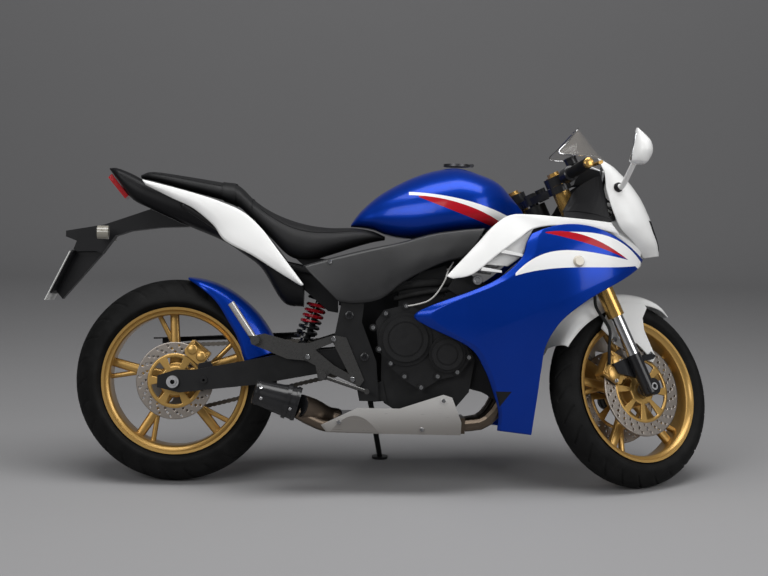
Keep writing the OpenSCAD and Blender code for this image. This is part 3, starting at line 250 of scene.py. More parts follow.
def slab(shape, outline, y0, y1):
    """A flat plate: an outline of (x, z) points from y0 to y1."""
    flat = np.asarray(outline, float)
    n, start = len(flat), shape.count
    shape.grid(np.stack([np.insert(flat, 1, y, axis=1) for y in (y0, y1)]), wrap_cols=True)
    shape.faces.append(list(range(start, start + n)))
    shape.faces.append(list(range(start + 2 * n - 1, start + n - 1, -1)))
    return shape


def inside(a, b, outline):
    """Which points (a, b) lie in an outline: those with an odd number of its edges to one side."""
    p = np.asarray(outline, float)
    q = np.roll(p, -1, 0)
    a, b = a[..., None], b[..., None]
    reach = (q[:, 0] - p[:, 0]) * (b - p[:, 1]) / (q[:, 1] - p[:, 1] + 1e-9) + p[:, 0]
    return (((p[:, 1] > b) != (q[:, 1] > b)) & (a < reach)).sum(-1) % 2 == 1


def piece(name, shape, material, replaces="", body="chassis", thick=0.0, bevel=0.0, crease=40,
          closed=True):
    """Makes one object from a shape in bike millimetres, with a wall of the given thickness behind it."""
    points = park(np.concatenate(shape.points))
    mesh = bpy.data.meshes.new(name)
    mesh.from_pydata(points.tolist(), [], shape.faces)
    bm = bmesh.new()
    bm.from_mesh(mesh)
    bmesh.ops.remove_doubles(bm, verts=bm.verts, dist=2e-6)
    if closed:
        bmesh.ops.recalc_face_normals(bm, faces=bm.faces)
    bm.to_mesh(mesh)
    bm.free()
    mesh.shade_smooth()
    mesh.set_sharp_from_angle(angle=math.radians(crease))
    mesh.materials.append(material)
    obj = bpy.data.objects.new(name, mesh)
    bpy.context.scene.collection.objects.link(obj)
    if thick:
        wall = obj.modifiers.new("Wall", "SOLIDIFY")
        wall.thickness = thick * MM
        wall.offset = -1.0
        wall.use_even_offset = True
    if bevel:
        edge = obj.modifiers.new("Edge", "BEVEL")
        edge.width = bevel * MM
        edge.segments = 2
        edge.limit_method = "ANGLE"
        edge.angle_limit = math.radians(crease)
        edge.harden_normals = True
    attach(obj, body)
    if replaces:
        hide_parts(replaces)
    return obj


def panel(name, shape, material, replaces="", body="chassis"):
    """A piece that is an open sheet with the panels' thickness."""
    return piece(name, shape, material, replaces, body, PANEL_T, closed=False)


def fill_socket(socket, given):
    """Sets a socket's constant, with an alpha of 1 added to a plain colour."""
    socket.default_value = (*given, 1) if socket.type == "RGBA" and len(given) == 3 else given


class Value:
    """A socket of a node tree. Operators on values add Math nodes, and node() adds any other node."""

    def __init__(self, tree, socket):
        self.tree = tree
        self.socket = socket

    def node(self, kind, settings=None, inputs=None, out=0):
        """Adds a node of a type, sets it, feeds its sockets with values or links, and gives one output."""
        made = self.tree.nodes.new("ShaderNode" + kind)
        for key, setting in (settings or {}).items():
            setattr(made, key, setting)
        for key, given in (inputs or {}).items():
            if isinstance(given, Value):
                self.tree.links.new(given.socket, made.inputs[key])
            else:
                fill_socket(made.inputs[key], given)
        return Value(self.tree, made.outputs[out])

    def math(self, operation, *given):
        """A Math node on values or numbers."""
        return self.node("Math", {"operation": operation}, dict(enumerate(given)))

    def __add__(self, other):
        return self.math("ADD", self, other)

    def __sub__(self, other):
        return self.math("SUBTRACT", self, other)

    def __rsub__(self, other):
        return self.math("SUBTRACT", other, self)

    def __mul__(self, other):
        return self.math("MULTIPLY", self, other)

    def __rmul__(self, other):
        return self.math("MULTIPLY", other, self)

    def __truediv__(self, other):
        return self.math("DIVIDE", self, other)

    def __gt__(self, other):
        return self.math("GREATER_THAN", self, other)

    def __lt__(self, other):
        return self.math("LESS_THAN", self, other)

    def either(self, other):
        """The larger of two masks."""
        return self.math("MAXIMUM", self, other)

    def part(self, axis):
        """One of a vector's x, y and z."""
        return self.node("SeparateXYZ", {}, {0: self}, axis)

    def noise(self, scale, detail=2.0):
        """A noise value from 0 to 1 at these coordinates."""
        return self.node("TexNoise", {}, {"Vector": self, "Scale": scale, "Detail": detail, "Roughness": 0.5})

    def soft(self, low, high):
        """0 below low, 1 above high and a smooth step between them."""
        return self.node("MapRange", {"interpolation_type": "SMOOTHSTEP"},
                         {"Value": self, "From Min": low, "From Max": high})

    def between(self, a, b):
        """This value spread from a at 0 to b at 1."""
        return self * (b - a) + a

    def mix(self, a, b):
        """Colour a where this mask is 0 and colour b where it is 1."""
        return self.node("Mix", {"data_type": "RGBA"}, {0: self, 6: a, 7: b}, 2)

    def stretched(self, scale):
        """These coordinates stretched by three factors."""
        return self.node("Mapping", {}, {"Vector": self, "Scale": scale})

    def bump(self, strength, distance):
        """A normal that takes this value as a height."""
        return self.node("Bump", {}, {"Height": self, "Strength": strength, "Distance": distance})


def finish(name, paint, **fixed):
    """A material whose shader has fixed sockets, and varying ones from paint(coordinates) as a dict."""
    found = bpy.data.materials.get("bike_" + name)
    if found:
        return found
    material = bpy.data.materials.new("bike_" + name)
    material.use_nodes = True
    tree = material.node_tree
    shader = tree.nodes["Principled BSDF"]
    for key, given in fixed.items():
        fill_socket(shader.inputs[key.replace("_", " ")], given)
    where = tree.nodes.new("ShaderNodeTexCoord").outputs["Object"]
    for key, value in paint(Value(tree, where)).items():
        tree.links.new(value.socket, shader.inputs[key])
    return material


def on_bike(p):
    """Object coordinates turned back to bike axes, in metres."""
    turn = Matrix(AXES.T.tolist()).to_euler("XYZ")
    move = REAR_AXLE * MM - AXES.T @ AXLE_ROW
    return p.node("Mapping", {}, {"Vector": p, "Location": tuple(move), "Rotation": tuple(turn)})


def edge(x, points, degree=3):
    """The height of a painted edge over x: a polynomial fitted to a few points, in metres."""
    points = np.array(points, float) * MM
    value = None
    for k in np.polyfit(points[:, 0], points[:, 1], degree):
        value = float(k) if value is None else value * x + float(k)
    return value


def swatch(name, description, default):
    """A colour property."""
    return FloatVectorProperty(name=name, description=description, subtype="COLOR", size=3, default=default,
                               min=0, max=1)


class BikeColours(bpy.types.PropertyGroup):
    """Paint and metal colours."""

    blue: swatch("Blue", "Main paint of the tank and the fairing", (0.0006, 0.034, 0.32))
    white: swatch("White", "Second paint of the fairing and the tail", (0.80, 0.80, 0.79))
    red: swatch("Red", "Paint of the stripes and the shock spring", (0.38, 0.006, 0.014))
    gold: swatch("Gold", "Wheels, fork tubes and calipers", (0.56, 0.34, 0.10))
    black: swatch("Black", "Moulded and gloss black trim", (0.010, 0.010, 0.011))
    floor: swatch("Floor", "Studio floor and backdrop", (0.31, 0.307, 0.312))


class BikeSizes(bpy.types.PropertyGroup):
    """Sizes of the added detail."""

    groove: FloatProperty(name="Tread depth", description="Depth of the tyre grooves, in millimetres",
                          default=4.0, min=1.0, max=7.0)
    groove_count: IntProperty(name="Tread pitches", description="Groove pairs round a tyre",
                              default=26, min=12, max=48)
    drill: FloatProperty(name="Disc hole", default=3.6, min=1.5, max=5.0,
                         description="Radius of a drilled hole in a brake disc, in millimetres")
    lens: FloatProperty(name="Lens", description="Focal length of the camera", subtype="DISTANCE_CAMERA",
                        default=87.52, min=20, max=200)


def colours():
    """The scene's colours as tuples."""
    group = bpy.context.scene.bike_colours
    return {key: tuple(getattr(group, key)) for key in BikeColours.__annotations__}


def shade(colour, k):
    """A colour made k times as bright."""
    return tuple(k * part for part in colour)


# The share of metal flake in the blue, and the clear coat over every painted panel.
FLAKE = 0.55
GLOSS = {"Coat_Weight": 0.45, "Coat_IOR": 1.33, "Coat_Roughness": 0.1, "Specular_IOR_Level": 0.1}


def paint_layers(p, base, flake=0.0):
    """A sprayed colour with a faint mottle, a share of metal flake, a little dust in its roughness and
    orange peel in its clear coat."""
    return {"Base Color": p.noise(9.0, 3.0).soft(0.2, 0.8).mix(shade(base, 0.94), base),
            "Roughness": p.noise(60.0).between(0.28, 0.36),
            "Metallic": p.noise(700.0, 1.0).between(0.0, 2.0 * flake),
            "Normal": p.noise(420.0, 1.0).bump(0.03, 0.0004)}


def plain_paint(name):
    """Gloss paint of one colour under clear coat."""
    flake = FLAKE * (name == "blue")
    return finish(name + "_paint", lambda p: paint_layers(p, colours()[name], flake), **GLOSS)


# Edges of the tank's stripes (x, z), and where the white and the red one start, in metres.
STRIPE_TOP = [(715, 916), (788, 908), (856, 898), (924, 884), (979, 864), (1025, 848)]
STRIPE_SPLIT = [(761, 903), (834, 891), (902, 872), (952, 853), (980, 839)]
STRIPE_LOW = [(743, 900), (798, 879), (857, 855), (926, 832), (971, 815)]
STRIPE_WHITE_X = 0.715
STRIPE_RED_X = 0.745


def tank_paint():
    """Blue with a white and a red stripe that sweep down towards the front of the tank."""
    c = colours()

    def paint(p):
        layers = paint_layers(p, c["blue"], FLAKE)
        side = on_bike(p)
        x, z = side.part(0), side.part(2)
        white = (z < edge(x, STRIPE_TOP, 2)) * (z > edge(x, STRIPE_SPLIT, 2)) * (x > STRIPE_WHITE_X)
        red = (z < edge(x, STRIPE_SPLIT, 2)) * (z > edge(x, STRIPE_LOW, 2)) * (x > STRIPE_RED_X)
        layers["Base Color"] = red.mix(white.mix(layers["Base Color"], c["white"]), c["red"])
        layers["Metallic"] = layers["Metallic"] * (1 - red.either(white))
        return layers
    return finish("tank_paint", paint, **GLOSS)


# Edges of the fairing's band and flash (x, z), the vent's corners, and where the band, the white flash and
# the red one start and end, in metres.
BAND_TOP = [(1037, 666), (1116, 722), (1161, 743), (1241, 740), (1331, 728), (1389, 721), (1441, 708)]
BAND_LOW = [(1037, 660), (1099, 677), (1188, 687), (1287, 694), (1350, 696), (1408, 693), (1441, 706)]
WHITE_TOP = [(1129, 801), (1214, 800), (1322, 789), (1390, 761), (1443, 711)]
FLASH_TOP = [(1129, 796), (1214, 798), (1259, 787), (1304, 770), (1349, 747), (1390, 721)]
FLASH_LOW = [(1129, 795), (1169, 786), (1241, 769), (1295, 757), (1331, 740), (1390, 721)]
VENT = [(992, 306), (1041, 307), (1006, 258)]
BAND_X = 1.04
FLASH_WHITE_X = 1.19
FLASH_RED_X = (1.13, 1.39)


def fairing_paint():
    """Blue with a white band along the seam, and above it a red flash under a white one that widens to the
    nose. The foot has a black triangular vent."""
    c = colours()

    def paint(p):
        layers = paint_layers(p, c["blue"], FLAKE)
        side = on_bike(p)
        x, z = side.part(0), side.part(2)
        band = (z < edge(x, BAND_TOP, 4)) * (z > edge(x, BAND_LOW)) * (x > BAND_X)
        top = edge(x, FLASH_TOP)
        red = (z < top) * (z > edge(x, FLASH_LOW)) * (x > FLASH_RED_X[0]) * (x < FLASH_RED_X[1])
        flash = (z < edge(x, WHITE_TOP)) * (z > top) * (x > FLASH_WHITE_X)
        white = band.either(flash)
        painted = red.mix(white.mix(layers["Base Color"], c["white"]), c["red"])
        (x0, top_z), (x1, _), (x2, low_z) = [(a * MM, b * MM) for a, b in VENT]
        down = (top_z - z) / (top_z - low_z)
        vent = (down > 0) * (x > down * (x2 - x0) + x0) * (x < down * (x2 - x1) + x1)
        layers["Base Color"] = vent.mix(painted, c["black"])
        layers["Metallic"] = layers["Metallic"] * (1 - red.either(white)) * (1 - vent)
        return layers
    return finish("fairing_paint", paint, **GLOSS)


def mottled(name, dark, light, spots, rough, dust, grain=None, **fixed):
    """A finish whose colour mixes a dark and a light tone by a noise (spots: scale, detail), whose
    roughness runs between two values by another (dust), and whose normal takes a fine one as a height
    (grain: scale, detail, strength, distance)."""
    def paint(p):
        layers = {"Base Color": p.noise(*spots).mix(dark, light), "Roughness": p.noise(*dust).between(*rough)}
        if grain:
            layers["Normal"] = p.noise(*grain[:2]).bump(*grain[2:])
        return layers
    return finish(name, paint, **fixed)


def moulding(name="black_moulding", shine=0.14):
    """Black moulded plastic with a fine grain, and a shine that is higher on the covers."""
    c = colours()["black"]
    return mottled(name, shade(c, 0.6), shade(c, 1.2), (14.0, 3.0), (0.36, 0.50), (40.0, 2.0),
                   (900.0, 2.0, 0.18, 0.0005), Specular_IOR_Level=shine)


def gloss_black():
    """Smooth black trim."""
    c = colours()["black"]
    return mottled("gloss_black", c, shade(c, 1.6), (12.0, 2.0), (0.18, 0.30), (70.0, 2.0), Coat_Weight=0.2,
                   Coat_Roughness=0.08, Specular_IOR_Level=0.3)


def satin_black():
    """Black paint on the frame, the swingarm and other welded parts, with faint scuffs."""
    return mottled("satin_black", (0.006, 0.006, 0.0065), (0.011, 0.011, 0.0115), (18.0, 3.0), (0.30, 0.44),
                   (60.0, 3.0), (300.0, 2.0, 0.05, 0.0004), Specular_IOR_Level=0.3)


def engine_paint():
    """Black engine paint with a crackle."""
    return mottled("engine_paint", (0.006, 0.006, 0.0065), (0.013, 0.013, 0.0135), (16.0, 3.0), (0.30, 0.44),
                   (45.0, 2.0), (520.0, 2.0, 0.12, 0.0005), Specular_IOR_Level=0.34)


def plate_blank():
    """Blank pale plate."""
    return mottled("plate_blank", (0.62, 0.62, 0.60), (0.72, 0.72, 0.70), (10.0, 3.0), (0.3, 0.45),
                   (90.0, 2.0))


def lens_finish(name, colour, rough=(0.03, 0.09), **fixed):
    """A moulded lamp lens, or the cable's duller sheath."""
    return mottled(name, shade(colour, 0.9), colour, (20.0, 2.0), rough, (80.0, 2.0),
                   (240.0, 1.0, 0.08, 0.0006), **fixed)


def vinyl():
    """Black seat cover with a leather grain."""
    def paint(p):
        cells = p.node("TexVoronoi", {"feature": "DISTANCE_TO_EDGE"}, {"Vector": p, "Scale": 420.0}, 0)
        grain = cells.soft(0.0, 0.25) + 0.4 * p.noise(160.0, 3.0)
        return {"Base Color": p.noise(22.0, 3.0).mix((0.006, 0.006, 0.0065), (0.012, 0.012, 0.013)),
                "Roughness": p.noise(30.0).between(0.46, 0.62), "Normal": grain.bump(0.32, 0.0006)}
    return finish("seat_vinyl", paint, Specular_IOR_Level=0.28)


def metal(name, colour, low, high, scale, bump, shine=1.0, **fixed):
    """A metal, or a metal paint where shine is under 1, whose roughness runs between low and high in a
    grain."""
    def paint(p):
        grain = p.noise(scale, 3.0)
        return {"Base Color": grain.mix(shade(colour, 0.82), colour), "Roughness": grain.between(low, high),
                "Normal": grain.bump(bump, 0.0004)}
    return finish(name, paint, Metallic=shine, **fixed)


# Each bare metal's colour, lowest and highest roughness, scale of grain and strength of bump.
METALS = {
    "satin_alloy": ((0.55, 0.55, 0.56), 0.28, 0.44, 180.0, 0.04),
    "dark_alloy": ((0.10, 0.10, 0.105), 0.34, 0.5, 240.0, 0.06),
    "bright_steel": ((0.62, 0.62, 0.63), 0.14, 0.26, 150.0, 0.02),
    "disc_steel": ((0.36, 0.32, 0.285), 0.30, 0.42, 320.0, 0.01),
    "chain_steel": ((0.20, 0.185, 0.165), 0.30, 0.5, 300.0, 0.05),
    "mirror_glass": ((0.80, 0.82, 0.84), 0.01, 0.04, 20.0, 0.0),
}


def bare(name):
    """One of the bare metals."""
    return metal(name, *METALS[name])


def gold_cast():
    """Gold paint on cast metal."""
    return metal("gold_cast", colours()["gold"], 0.26, 0.42, 260.0, 0.06, 0.7, Coat_Weight=0.2,
                 Coat_Roughness=0.12)


def gold_tube():
    """Gold anodised tube."""
    return metal("gold_tube", shade(colours()["gold"], 1.15), 0.18, 0.28, 200.0, 0.02, 0.75)


# Upper edge of the pressed step at the rear of the exhaust shield (x, z).
SHIELD_STEP = [(487, 173), (532, 219), (562, 220), (614, 200), (633, 175)]


def brushed_sheet():
    """Brushed stainless sheet, its grain along the bike, with a painted highlight that makes it paler towards
    its top, and darker on the pressed step at its rear."""
    def paint(p):
        lines = p.stretched((2.0, 60.0, 60.0)).noise(9.0, 3.0)
        side = on_bike(p)
        x, z = side.part(0), side.part(2)
        # Painted highlight: the colour runs from dark low on the sheet to pale at its top.
        lit = (z - 0.05 * x).soft(0.13, 0.25).mix((0.34, 0.32, 0.30), (0.92, 0.90, 0.87))
        step = (z < edge(x, SHIELD_STEP, 2)).mix(lit, (0.33, 0.31, 0.29))
        return {"Base Color": step, "Roughness": lines.between(0.24, 0.36),
                "Normal": lines.bump(0.02, 0.0004)}
    return finish("brushed_sheet", paint, Metallic=0.72)


def heat_steel():
    """Header pipes browned by heat."""
    def paint(p):
        stain = p.noise(11.0, 4.0)
        return {"Base Color": stain.mix((0.06, 0.045, 0.034), (0.19, 0.15, 0.115)),
                "Roughness": stain.between(0.28, 0.46), "Normal": p.noise(260.0).bump(0.04, 0.0004)}
    return finish("heat_steel", paint, Metallic=1.0)


def rubber(name="tyre_rubber", tone=0.008):
    """Black rubber with a dusty bloom."""
    def paint(p):
        dust = p.noise(26.0, 4.0)
        return {"Base Color": dust.soft(0.35, 0.75).mix((0.7 * tone,) * 3, (1.3 * tone,) * 3),
                "Roughness": dust.between(0.58, 0.82), "Normal": p.noise(700.0).bump(0.14, 0.0005)}
    return finish(name, paint, Specular_IOR_Level=0.12)


# In metres: front indicators lie ahead of the first, black coils below the second, and the pillion pegs
# behind and above the last two.
FRONT_INDICATOR_X = 0.5
BLACK_COIL_Z = 0.505
PEG_X = 0.258
PEG_Z = 0.462


def indicator_lens():
    """Pale front indicator lenses and greyer rear ones, with a moulded ripple."""
    def paint(p):
        front = on_bike(p).part(0) > FRONT_INDICATOR_X
        ripple = p.noise(240.0, 1.0)
        return {"Base Color": front.mix((0.24, 0.225, 0.19), (0.56, 0.51, 0.42)),
                "Roughness": ripple.between(0.05, 0.14), "Normal": ripple.bump(0.12, 0.0008)}
    return finish("indicator_lens", paint, Coat_Weight=0.6)


def smoke_screen():
    """Clear screen with a faint tan tint: nearly see-through, with a gloss skin."""
    return finish("smoke_screen", lambda p: {
        "Alpha": p.noise(3.0, 1.0).between(0.10, 0.15), "Roughness": p.noise(50.0).between(0.02, 0.05)},
        Base_Color=(0.34, 0.31, 0.27), Specular_IOR_Level=0.7)


def red_spring():
    """Gloss red coil paint, black on the lower coils."""
    c = colours()

    def paint(p):
        layers = paint_layers(p, c["red"])
        low = on_bike(p).part(2) < BLACK_COIL_Z
        layers["Base Color"] = low.mix(layers["Base Color"], c["black"])
        return layers
    return finish("spring_paint", paint, Coat_Weight=0.5, Coat_Roughness=0.1)


def hanger_alloy():
    """Dark polished footrest hangers with bare pillion pegs."""
    def paint(p):
        side = on_bike(p)
        peg = (side.part(0) < PEG_X) * (side.part(2) > PEG_Z)
        grain = p.noise(180.0, 3.0)
        return {"Base Color": peg.mix((0.10, 0.098, 0.096), (0.62, 0.60, 0.57)),
                "Roughness": grain.between(0.22, 0.36), "Normal": grain.bump(0.01, 0.0004)}
    return finish("hanger_alloy", paint, Metallic=0.8)


# Powers of the rounded sections, and the share of its width that a guard keeps on its cut side.
SECTION_POWER = 0.9
SHIELD_POWER = 0.85
GUARD_POWER = 0.7
GUARD_KEPT = 0.45


def normals(g):
    """Outward directions over a grid, rows x columns."""
    return unit(np.cross(np.gradient(g, axis=0), np.gradient(g, axis=1)))


def section_grid(rows, n, m, up_fill, low_fill):
    """Closed sections along a table of rows. Across a section the width goes as |cos|^fill and the height
    as |sin|^0.9, so that a small fill gives a flat crown."""
    r = curve(rows, shares(n))
    a = np.pi / 2 - turns(m)
    s, c = np.sin(a), np.cos(a)
    y = np.sign(c) * abs(c) ** np.where(s > 0, up_fill, low_fill)
    z = np.where(s > 0, r[:, 1:2] - r[:, 2:3], r[:, 2:3] - r[:, 3:4]) * np.sign(s) * abs(s) ** SECTION_POWER
    return np.stack([np.repeat(r[:, :1], m, 1), r[:, 4:5] * y, r[:, 2:3] + z], -1)


def strip_grid(rows, n, m, bulge):
    """A right side panel between a lower and an upper edge, bowed out by a parabola."""
    r = curve(rows, shares(n))[:, None, :]
    t = shares(m)[None, :]
    x, z, w = (r[..., k] + (r[..., k + 3] - r[..., k]) * t for k in range(3))
    return np.stack([x, -1 * (w + bulge * 4 * t * (1 - t)), z], -1)


def shield_points(r, turn):
    """Points of a nose surface: each row turns from facing ahead on the middle line to facing sideways at
    its edge, its x and z going as cos^0.85 of the turn, in degrees, and its width as sin."""
    a = np.radians(turn)[None, :]
    c = np.maximum(np.cos(a), 0) ** SHIELD_POWER
    x, z = (r[..., k + 2] + (r[..., k] - r[..., k + 2]) * c for k in range(2))
    return np.stack([x, r[..., 4] * np.sin(a), z], -1)


def shield_grid(rows, n, m):
    """A nose surface from side to side."""
    return shield_points(curve(rows, shares(n))[:, None, :], np.linspace(-90, 90, m))


def on_shield(rows, s, turn):
    """A point of a nose surface at a share of its rows and a turn in degrees, and its outward direction."""
    g = shield_points(curve(rows, [s - 0.01, s, s + 0.01])[:, None, :], [turn - 1, turn, turn + 1])
    return g[1, 1], normals(g)[1, 1]


def guard_grid(rows, n, m, hand, cut_side=1.0):
    """A wheel guard over the tread, whose section drops as 1 - |cos|^0.7 and spreads as |sin|^0.7. cut_side
    is the share of the drop left on one side."""
    r = curve(rows, shares(n))[:, None, :]
    t = hand * np.radians(np.linspace(-90, 90, m))[None, :]
    far = np.where(t > 0, cut_side, 1.0)
    q = r[..., 1] - r[..., 3] * far * (1 - abs(np.cos(t)) ** GUARD_POWER)
    kept = np.where(t > 0, GUARD_KEPT + (1 - GUARD_KEPT) * far, 1.0)
    w = kept * np.sign(np.sin(t)) * abs(np.sin(t)) ** GUARD_POWER
    a = np.radians(r[..., 0])
    return np.stack([q * np.cos(a), r[..., 2] * w, q * np.sin(a)], -1)


# Sections: x, top, widest height, floor and half width.
TANK_ROWS = [(538, 815, 811, 807, 40), (565, 853, 828, 806, 78), (610, 896, 838, 799, 102),
             (660, 930, 843, 781, 124), (730, 966, 846, 775, 148), (800, 989, 854, 786, 165),
             (870, 998, 862, 797, 174), (945, 978, 866, 804, 162), (1000, 953, 866, 806, 120),
             (1042, 910, 856, 806, 66), (1078, 868, 843, 812, 34)]
SEAT_ROWS = [(-122, 957, 951, 946, 42), (-80, 966, 950, 938, 78), (40, 951, 925, 908, 100),
             (140, 936, 905, 882, 110), (186, 927, 892, 862, 112), (234, 884, 850, 818, 116),
             (286, 850, 805, 768, 128), (346, 825, 760, 712, 140), (408, 809, 745, 700, 142),
             (474, 802, 755, 718, 136), (544, 803, 770, 742, 116), (604, 795, 778, 760, 90),
             (645, 779, 773, 768, 52)]
TRAY_ROWS = [(-222, 976, 973, 970, 30), (-196, 975, 955, 938, 62), (-150, 958, 920, 880, 70),
             (-90, 930, 890, 850, 74), (20, 905, 850, 802, 78), (130, 870, 810, 758, 80),
             (200, 845, 770, 716, 80), (262, 780, 720, 668, 80), (330, 700, 640, 566, 80),
             (394, 640, 600, 552, 80)]
# Side panels: x, z and half width of the lower edge, then of the upper one.
TAIL_ROWS = [(-104, 922, 84, -114, 939, 80), (-20, 882, 104, -36, 920, 103), (48, 851, 112, 50, 898, 112),
             (112, 800, 120, 130, 874, 118), (150, 752, 126, 204, 842, 120), (236, 708, 138, 262, 792, 128),
             (315, 660, 146, 318, 722, 142), (388, 617, 150, 396, 622, 150)]
COVER_ROWS = [(504, 572, 175, 392, 680, 150), (556, 568, 176, 480, 706, 152), (632, 582, 174, 590, 735, 150),
              (700, 634, 168, 690, 758, 148), (764, 670, 168, 790, 786, 158), (830, 700, 174, 880, 800, 166),
              (900, 716, 176, 950, 806, 168)]
MID_ROWS = [(852, 648, 211, 832, 656, 206), (912, 664, 220, 878, 706, 200), (985, 724, 224, 925, 758, 192),
            (1049, 774, 219, 972, 811, 188), (1097, 807, 206, 1022, 846, 186),
            (1178, 819, 201, 1089, 850, 194), (1286, 812, 185, 1242, 840, 190),
            (1366, 796, 158, 1338, 832, 163)]
INFILL_ROWS = [(1020, 690, 200, 950, 694, 204), (1062, 725, 200, 985, 724, 204),
               (1078, 770, 200, 1049, 774, 204), (1092, 800, 198, 1097, 807, 200)]
NOSE_FILL = [(1330, 806, 150, 1346, 846, 150), (1372, 780, 142, 1398, 850, 114),
             (1412, 746, 128, 1434, 800, 96), (1438, 714, 108, 1446, 745, 86)]
TRIM_ROWS = [(1190, 842, 184, 1190, 864, 168), (1242, 836, 181, 1238, 866, 168),
             (1300, 828, 166, 1290, 862, 165), (1345, 836, 152, 1338, 850, 152),
             (1354, 848, 148, 1340, 900, 142), (1362, 900, 130, 1316, 972, 136)]
# Nose surfaces: x and z on the middle line, then x, z and half width at the edge.
NOSE_ROWS = [(1376, 995, 1298, 1032, 134), (1400, 975, 1317, 985, 148), (1418, 957, 1322, 938, 158),
             (1449, 915, 1335, 892, 162), (1473, 869, 1350, 852, 164), (1492, 823, 1370, 814, 156),
             (1509, 772, 1418, 770, 121), (1514, 735, 1456, 726, 67)]
SCREEN_ROWS = [(1250, 1135, 1238, 1121, 52), (1284, 1093, 1206, 1082, 104), (1316, 1054, 1180, 1044, 138),
               (1364, 1006, 1288, 1040, 131)]
# Side fairing: x and z of its rear edge, x and z of its front edge, and the rise of its middle.
SIDE_ROWS = [(1002, 183, 1108, 171, 0), (1003, 240, 1114, 232, 0), (985, 300, 1121, 300, 0),
             (955, 372, 1128, 375, 0), (905, 440, 1140, 452, 0), (778, 501, 1181, 523, 0),
             (736, 531, 1245, 578, 0), (781, 563, 1304, 616, 2), (926, 620, 1385, 661, 6),
             (1000, 660, 1436, 696, 14), (1058, 716, 1442, 706, 30), (1074, 764, 1446, 714, 62),
             (1088, 790, 1450, 720, 64)]
# Wheel guards: angle in degrees, radius, half width and drop of the sides.
HUGGER_ROWS = [(84, 326, 55, 8), (76, 329, 94, 28), (64, 331, 101, 52), (50, 331, 101, 80),
               (36, 333, 101, 96), (24, 335, 101, 108), (17, 338, 101, 112)]
GUARD_ROWS = [(56, 318, 26, 8), (68, 318, 58, 26), (84, 318, 70, 40), (104, 320, 70, 48), (124, 322, 70, 48),
              (144, 326, 68, 36), (157, 330, 62, 26)]
# Mirror head: height, half length, half width and the x of its middle.
MIRROR_ROWS = [(1003, 20, 38, 1393), (1012, 28, 52, 1395), (1040, 33, 60, 1402), (1070, 27, 54, 1402),
               (1092, 14, 36, 1395), (1109, 3, 12, 1388)]
# Outlines in side view, the strut's in the front wheel's own frame.
STRUT = [(-150, 186), (-117, 160), (-103, 140), (-66, 124), (-62, 150), (-10, 147), (26, 116), (30, 94),
         (48, 90), (62, 109), (24, 193), (22, 232), (44, 268), (30, 281), (-50, 277), (-108, 262)]
LOUVRES = [[(996, 730), (1000, 741), (1078, 724), (1078, 717)],
           [(936, 675), (940, 686), (1000, 676), (1000, 669)]]
# One lamp's outline: distance from the middle line and height.
LAMP = [(24, 838), (84, 843), (78, 806), (44, 754), (24, 748)]
# Side fairing: half width at its waist and foot, where it is widest, and the runs and amounts by which it
# narrows.
FAIRING_W = 245.0
FAIRING_FOOT_W = 150.0
FAIRING_WIDE_X = 1150.0
NOSE_RUN = 325.0
WAIST_Z = 650
FOOT_RUN = 480
TOP_RUN = 150
TOP_IN = 30
REAR_X = 1000
REAR_RUN = 264
REAR_IN = 25
# The crease: a point of it, its slope, the lean below it and the most that it takes off.
CREASE_X = 936
CREASE_Z = 472
CREASE_SLOPE = 0.47
CREASE_LEAN = 0.07
CREASE_MOST = 14
# The bevel at the rear edge: where it starts across the panel, and how steep it is.
BEVEL_FROM = 0.9
BEVEL_SLOPE = 100


def side_width(x, z):
    """Half width of the side fairing: a parabola in height that narrows to the foot and to the top, an
    ellipse towards the nose and a parabola towards the rear point. Below a sloping crease it leans
    inwards."""
    low = FAIRING_W - (FAIRING_W - FAIRING_FOOT_W) * ((WAIST_Z - z) / FOOT_RUN) ** 2
    high = FAIRING_W - TOP_IN * ((z - WAIST_Z) / TOP_RUN) ** 2
    nose = np.sqrt(np.maximum(1 - ((x - FAIRING_WIDE_X) / NOSE_RUN) ** 2, 0.02))
    return (np.where(z < WAIST_Z, low, high) * np.where(x < FAIRING_WIDE_X, 1, nose)
            - np.where(x < REAR_X, REAR_IN * ((REAR_X - x) / REAR_RUN) ** 2, 0)
            - np.clip((CREASE_Z + (x - CREASE_X) * CREASE_SLOPE - z) * CREASE_LEAN, 0, CREASE_MOST))


def side_grid(n, m):
    """The right side fairing between its rear and front edges, its middle raised by a parabola and its rear
    edge bevelled."""
    r = curve(SIDE_ROWS, shares(n))[:, None, :]
    t = shares(m)[None, :]
    x = r[..., 2] + (r[..., 0] - r[..., 2]) * t
    z = r[..., 3] + (r[..., 1] - r[..., 3]) * t + r[..., 4] * 4 * t * (1 - t)
    return np.stack([x, -1 * (side_width(x, z) - BEVEL_SLOPE * np.maximum(t - BEVEL_FROM, 0)), z], -1)


def mirrored(g):
    """A grid's twin on the other side, with its columns turned so that it still faces outwards."""
    return (g * np.array([1, -1, 1]))[:, ::-1]


def both(g):
    """A shape of a grid and its twin on the other side."""
    return Shape().grid(g).grid(mirrored(g))


class BIKE_OT_tank(bpy.types.Operator):
    """Makes the fuel tank"""
    bl_idname = "bike.tank"
    bl_label = "Fuel tank"

    def execute(self, context):
        skin = Shape().grid(section_grid(TANK_ROWS, 120, 96, 0.75, 0.5), wrap_cols=True, caps=True)
        piece("fuel_tank_skin", skin, tank_paint(), "fuel_tank")
        return {"FINISHED"}


